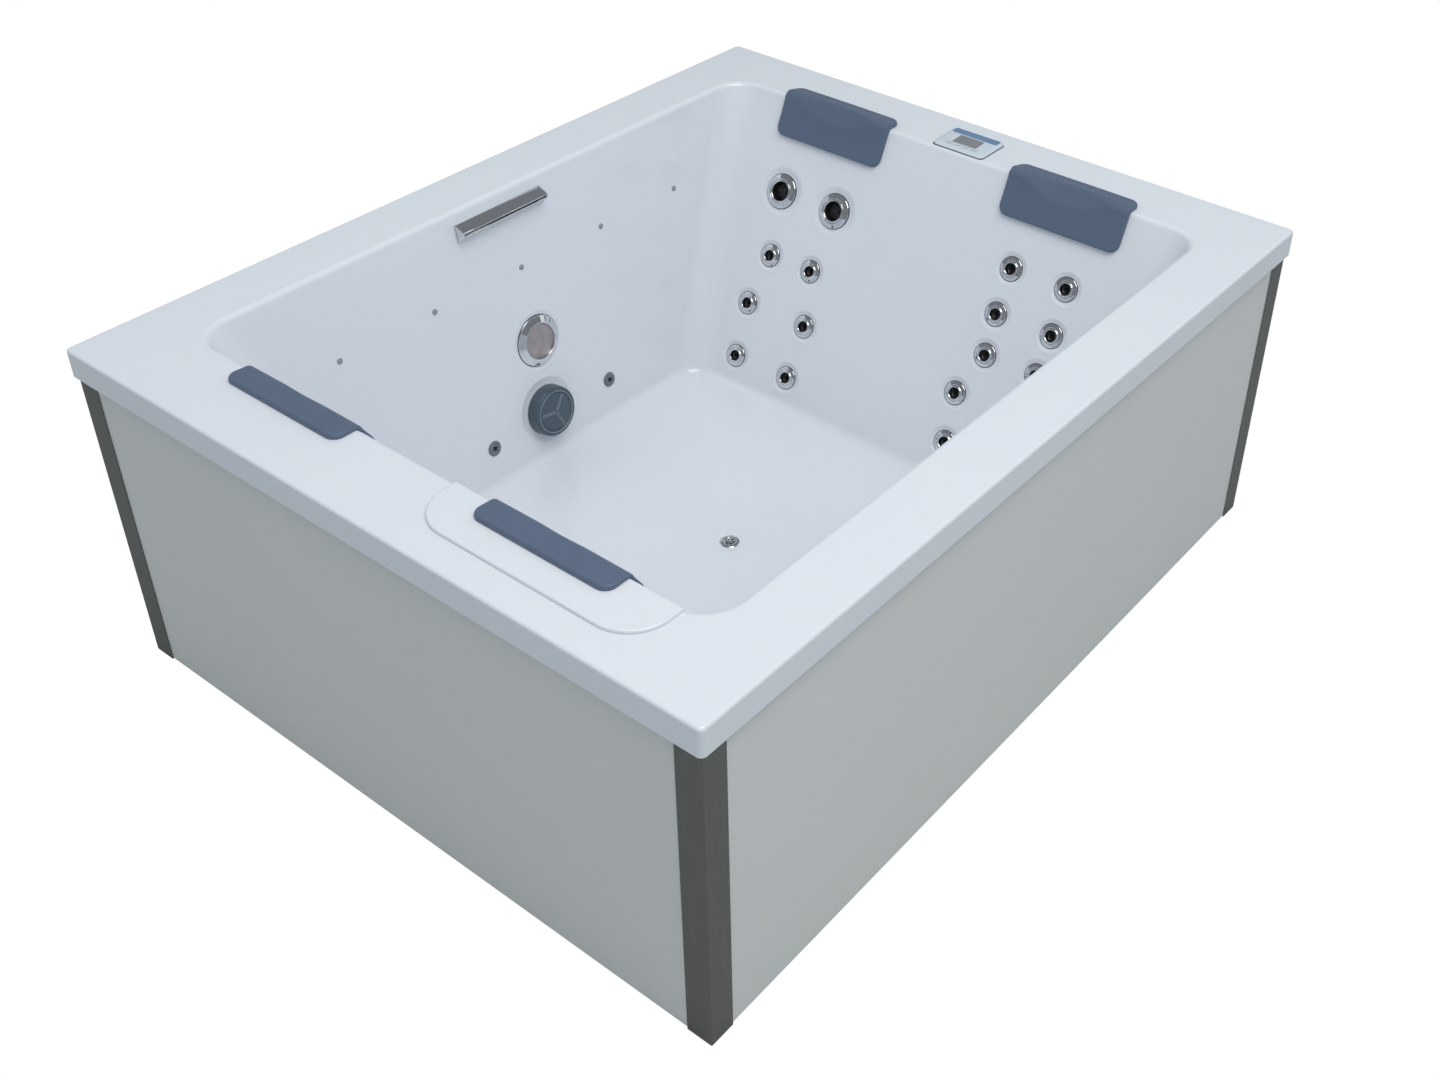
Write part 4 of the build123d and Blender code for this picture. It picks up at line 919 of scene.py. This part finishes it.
def strainer(edge=13.9, rows=40, sides=180):
    """Domed disc as a polar grid, without the faces that lie over its six holes."""
    radius, angle = np.meshgrid(np.linspace(edge, 0.05, rows), np.arange(sides) * 2 * pi / sides,
                                indexing="ij")
    height = 1.6 - 1.4 * (radius / edge) ** 2
    grid = np.stack([radius * np.cos(angle), radius * np.sin(angle), height], axis=-1)
    points, faces = sheet_of(grid, closed=True)
    middle = points[faces].mean(axis=1)[:, :2]
    holes = np.array([[8.6 * np.cos(a), 8.6 * np.sin(a)] for a in np.arange(6) * pi / 3])
    near = np.linalg.norm(middle[:, None] - holes[None], axis=-1).min(axis=1)
    return points, faces[near > 2.9]


dishes("drain_dish", [(dish(46, 24, 3.0), [DRAIN])])
piece("drain_ring", placed(lathe(DRAIN_RING), DRAIN), "tub", chrome, ["drain_flange"])
grate = piece("drain_strainer", placed(strainer(), DRAIN), "tub", chrome, ["drain_grille"])
wall = grate.modifiers.new("wall", "SOLIDIFY")
wall.thickness = 0.0012

# %% [markdown]
# ## Keypad
#
# The keypad is a small wedge on the rim, higher on the outer side, with a grey display, four keys and a
# glossy strip along its outer edge whose blue colour is a painted reflection of the sky. Its body is a stack
# of rounded rectangles that shrink as they rise, with one side lifted more than the other.

# %% Rounded rectangle rings
def ring_outline(half_x, half_y, corner, count=16):
    """Points round a rectangle with round corners, a quarter circle of points at each corner."""
    step = np.repeat(np.array([[1, 1], [-1, 1], [-1, -1], [1, -1]]), count, axis=0)
    local = np.linspace(0, pi / 2, count)
    turn = np.concatenate([local + k * pi / 2 for k in range(4)])
    x = step[:, 0] * (half_x - corner) + corner * np.cos(turn)
    y = step[:, 1] * (half_y - corner) + corner * np.sin(turn)
    return x, y


def stack_of_rings(half_x, half_y, corner, steps, lift=0.0):
    """Surface through rings drawn in by each step's inset at its height, tilted by lift along x."""
    grid = []
    for inset, height in steps:
        x, y = ring_outline(half_x - inset, half_y - inset, max(corner - inset, 0.6))
        grid.append(np.stack([x, y, height + lift * (x + half_x) / (2 * half_x) * (height > 0.5)], axis=-1))
    x, y, z = grid[-1].T
    grid.append(np.stack([x * 0, y * 0, z * 0 + z.mean()], axis=-1))
    return sheet_of(np.array(grid), closed=True)


# %% Keypad body, display, keys and strip
KEYPAD = (np.array([908, -12, 801.5], float), np.eye(3))
WEDGE_LIFT = 4.0
WEDGE_TOP = 4.6
BODY_STEPS = [(0, 0.1), (0, 1.6), (0.5, 2.4), (1.6, 3.0), (4.2, 4.0), (5.4, 4.3), (8, 4.5), (30, WEDGE_TOP)]


def on_wedge(middle_x, half_x, half_y, corner, rise):
    """Thin plate on the wedge's sloping top, whose height is h = top + lift x share of the depth."""
    low_share = (middle_x - half_x - KEYPAD[0][0] + 52) / 104
    base = WEDGE_TOP + WEDGE_LIFT * low_share - 1.4
    steps = [(0, 0.0), (0, 1.1 + rise), (0.3, 1.32 + rise), (0.8, 1.4 + rise)]
    place = (np.array([middle_x, KEYPAD[0][1], KEYPAD[0][2] + base]), np.eye(3))
    return placed(stack_of_rings(half_x, half_y, corner, steps, WEDGE_LIFT * half_x / 52), place)


bezel_skin = mottled("bezel_plastic", (0.62, 0.69, 0.75), (0.58, 0.65, 0.71), 40.0, (0.12, 0.2), 600.0,
                     0.00003, Coat_Weight=0.6)
display_skin = mottled("display_grey", (0.2, 0.2, 0.22), (0.25, 0.25, 0.265), 700.0, (0.25, 0.35), 1500.0,
                       0.00003, Coat_Weight=0.4)
# The strip's blue base colour is a painted reflection of the sky.
sky_reflection_skin = mottled("painted_sky_blue", (0.10, 0.2, 0.34), (0.16, 0.28, 0.43), 18.0, (0.05, 0.1), 300.0, 0.00003,
                     Coat_Weight=1.0)
key_skin = mottled("key_plastic", (0.55, 0.6, 0.65), (0.5, 0.55, 0.6), 90.0, (0.35, 0.45), 900.0, 0.00003)
piece("keypad_wedge", placed(stack_of_rings(52, 73, 12, BODY_STEPS, WEDGE_LIFT), KEYPAD), "tub", bezel_skin,
      ["keypad_bezel"])
piece("keypad_screen", on_wedge(907, 21, 35, 3, 0.3), "tub", display_skin, ["keypad_display"])
piece("keypad_strip", on_wedge(943, 11.5, 66, 5, 0.5), "tub", sky_reflection_skin)
dress(key_skin, "keypad_key_1", "keypad_key_2", "keypad_key_3", "keypad_key_4")

# %% [markdown]
# ## Room, light and camera
#
# The object stands on a white floor in soft daylight. The camera sees the backdrop as pure white, while the
# object still gets the softer light of a pale floor, because a Light Path node tells the two apart.

# %% Backdrop
def make_backdrop_white():
    """White for the camera, and a pale diffuse floor for the light that it returns."""
    made = bpy.data.materials.new("backdrop_white")
    made.use_nodes = True
    tree = made.node_tree
    tree.nodes.remove(tree.nodes["Principled BSDF"])
    diffuse = tree.nodes.new("ShaderNodeBsdfDiffuse")
    diffuse.inputs["Color"].default_value = (0.42, 0.43, 0.44, 1)
    glow = tree.nodes.new("ShaderNodeEmission")
    path = tree.nodes.new("ShaderNodeLightPath")
    mix = tree.nodes.new("ShaderNodeMixShader")
    tree.links.new(path.outputs["Is Camera Ray"], mix.inputs["Fac"])
    tree.links.new(diffuse.outputs[0], mix.inputs[1])
    tree.links.new(glow.outputs[0], mix.inputs[2])
    tree.links.new(mix.outputs[0], tree.nodes["Material Output"].inputs["Surface"])
    return made


def backdrop_sheet(half=14.0, drop=-0.001):
    """A flat square under the object."""
    corners = np.array([[-half, -half, drop], [half, -half, drop], [half, half, drop], [-half, half, drop]])
    return corners / MM, np.array([[0, 1, 2, 3]])


points, faces = backdrop_sheet()
floor_mesh = bpy.data.meshes.new("floor")
floor_mesh.from_pydata((points * MM).tolist(), [], faces.tolist())
floor_mesh.materials.append(make_backdrop_white())
floor = bpy.data.objects.new("floor", floor_mesh)
bpy.context.scene.collection.objects.link(floor)


# %% Daylight
def make_sky():
    """White for the camera, dim in reflections so that chrome has darks, and a pale glow for all else."""
    world = bpy.data.worlds.new("daylight")
    world.use_nodes = True
    tree = world.node_tree
    sky = tree.nodes["Background"]
    sky.inputs["Color"].default_value = (0.86, 0.94, 1.0, 1)
    sky.inputs["Strength"].default_value = 0.66
    seen = tree.nodes.new("ShaderNodeBackground")
    seen.inputs["Color"].default_value = (1, 1, 1, 1)
    mirrored = tree.nodes.new("ShaderNodeBackground")
    mirrored.inputs["Color"].default_value = (0.86, 0.92, 1.0, 1)
    mirrored.inputs["Strength"].default_value = 0.24
    path = tree.nodes.new("ShaderNodeLightPath")
    dim = tree.nodes.new("ShaderNodeMixShader")
    mix = tree.nodes.new("ShaderNodeMixShader")
    tree.links.new(path.outputs["Is Glossy Ray"], dim.inputs["Fac"])
    tree.links.new(sky.outputs[0], dim.inputs[1])
    tree.links.new(mirrored.outputs[0], dim.inputs[2])
    tree.links.new(path.outputs["Is Camera Ray"], mix.inputs["Fac"])
    tree.links.new(dim.outputs[0], mix.inputs[1])
    tree.links.new(seen.outputs[0], mix.inputs[2])
    tree.links.new(mix.outputs[0], tree.nodes["World Output"].inputs["Surface"])
    return world


bpy.context.scene.world = make_sky()
bpy.context.scene.view_settings.view_transform = "Standard"


def soft_light(name, place, target, size, power, colour):
    """Square area light that faces a target."""
    lamp = bpy.data.lights.new(name, "AREA")
    lamp.size = size
    lamp.energy = power
    lamp.color = colour
    made = bpy.data.objects.new(name, lamp)
    bpy.context.scene.collection.objects.link(made)
    way = np.array(target, float) - np.array(place, float)
    out = -way / np.linalg.norm(way)
    right = np.cross((0, 0, 1), out)
    right /= np.linalg.norm(right)
    axes = np.stack([right, np.cross(out, right), out], axis=1)
    made.matrix_world = Matrix.Translation(place) @ Matrix(axes.tolist()).to_4x4()
    return made


soft_light("high_light", (-0.8, -2.6, 6.4), (0, 0, 0.5), 4.0, 212, (1.0, 0.98, 0.95))

# %% Camera
CAMERA_MM = (-2323.5, -2041.5, 2586.6)
RIGHT = (0.61037090, -0.79179701, 0.02246889)
DOWN = (-0.45378807, -0.37277879, -0.80939012)
AHEAD = (0.64924860, 0.48383206, -0.58684141)
view = bpy.data.cameras.new("camera")
view.sensor_width = 36
view.lens = 1668.30 / 1440 * 36
view.shift_x = (720 - 836.90) / 1440
view.shift_y = (458.70 - 540) / 1440
camera = bpy.data.objects.new("camera", view)
bpy.context.scene.collection.objects.link(camera)
turn = np.stack([RIGHT, -np.array(DOWN), -np.array(AHEAD)], axis=1)
camera.matrix_world = Matrix.Translation([v * MM for v in CAMERA_MM]) @ Matrix(turn.tolist()).to_4x4()
bpy.context.scene.camera = camera
print("camera lens", round(view.lens, 2), "mm")
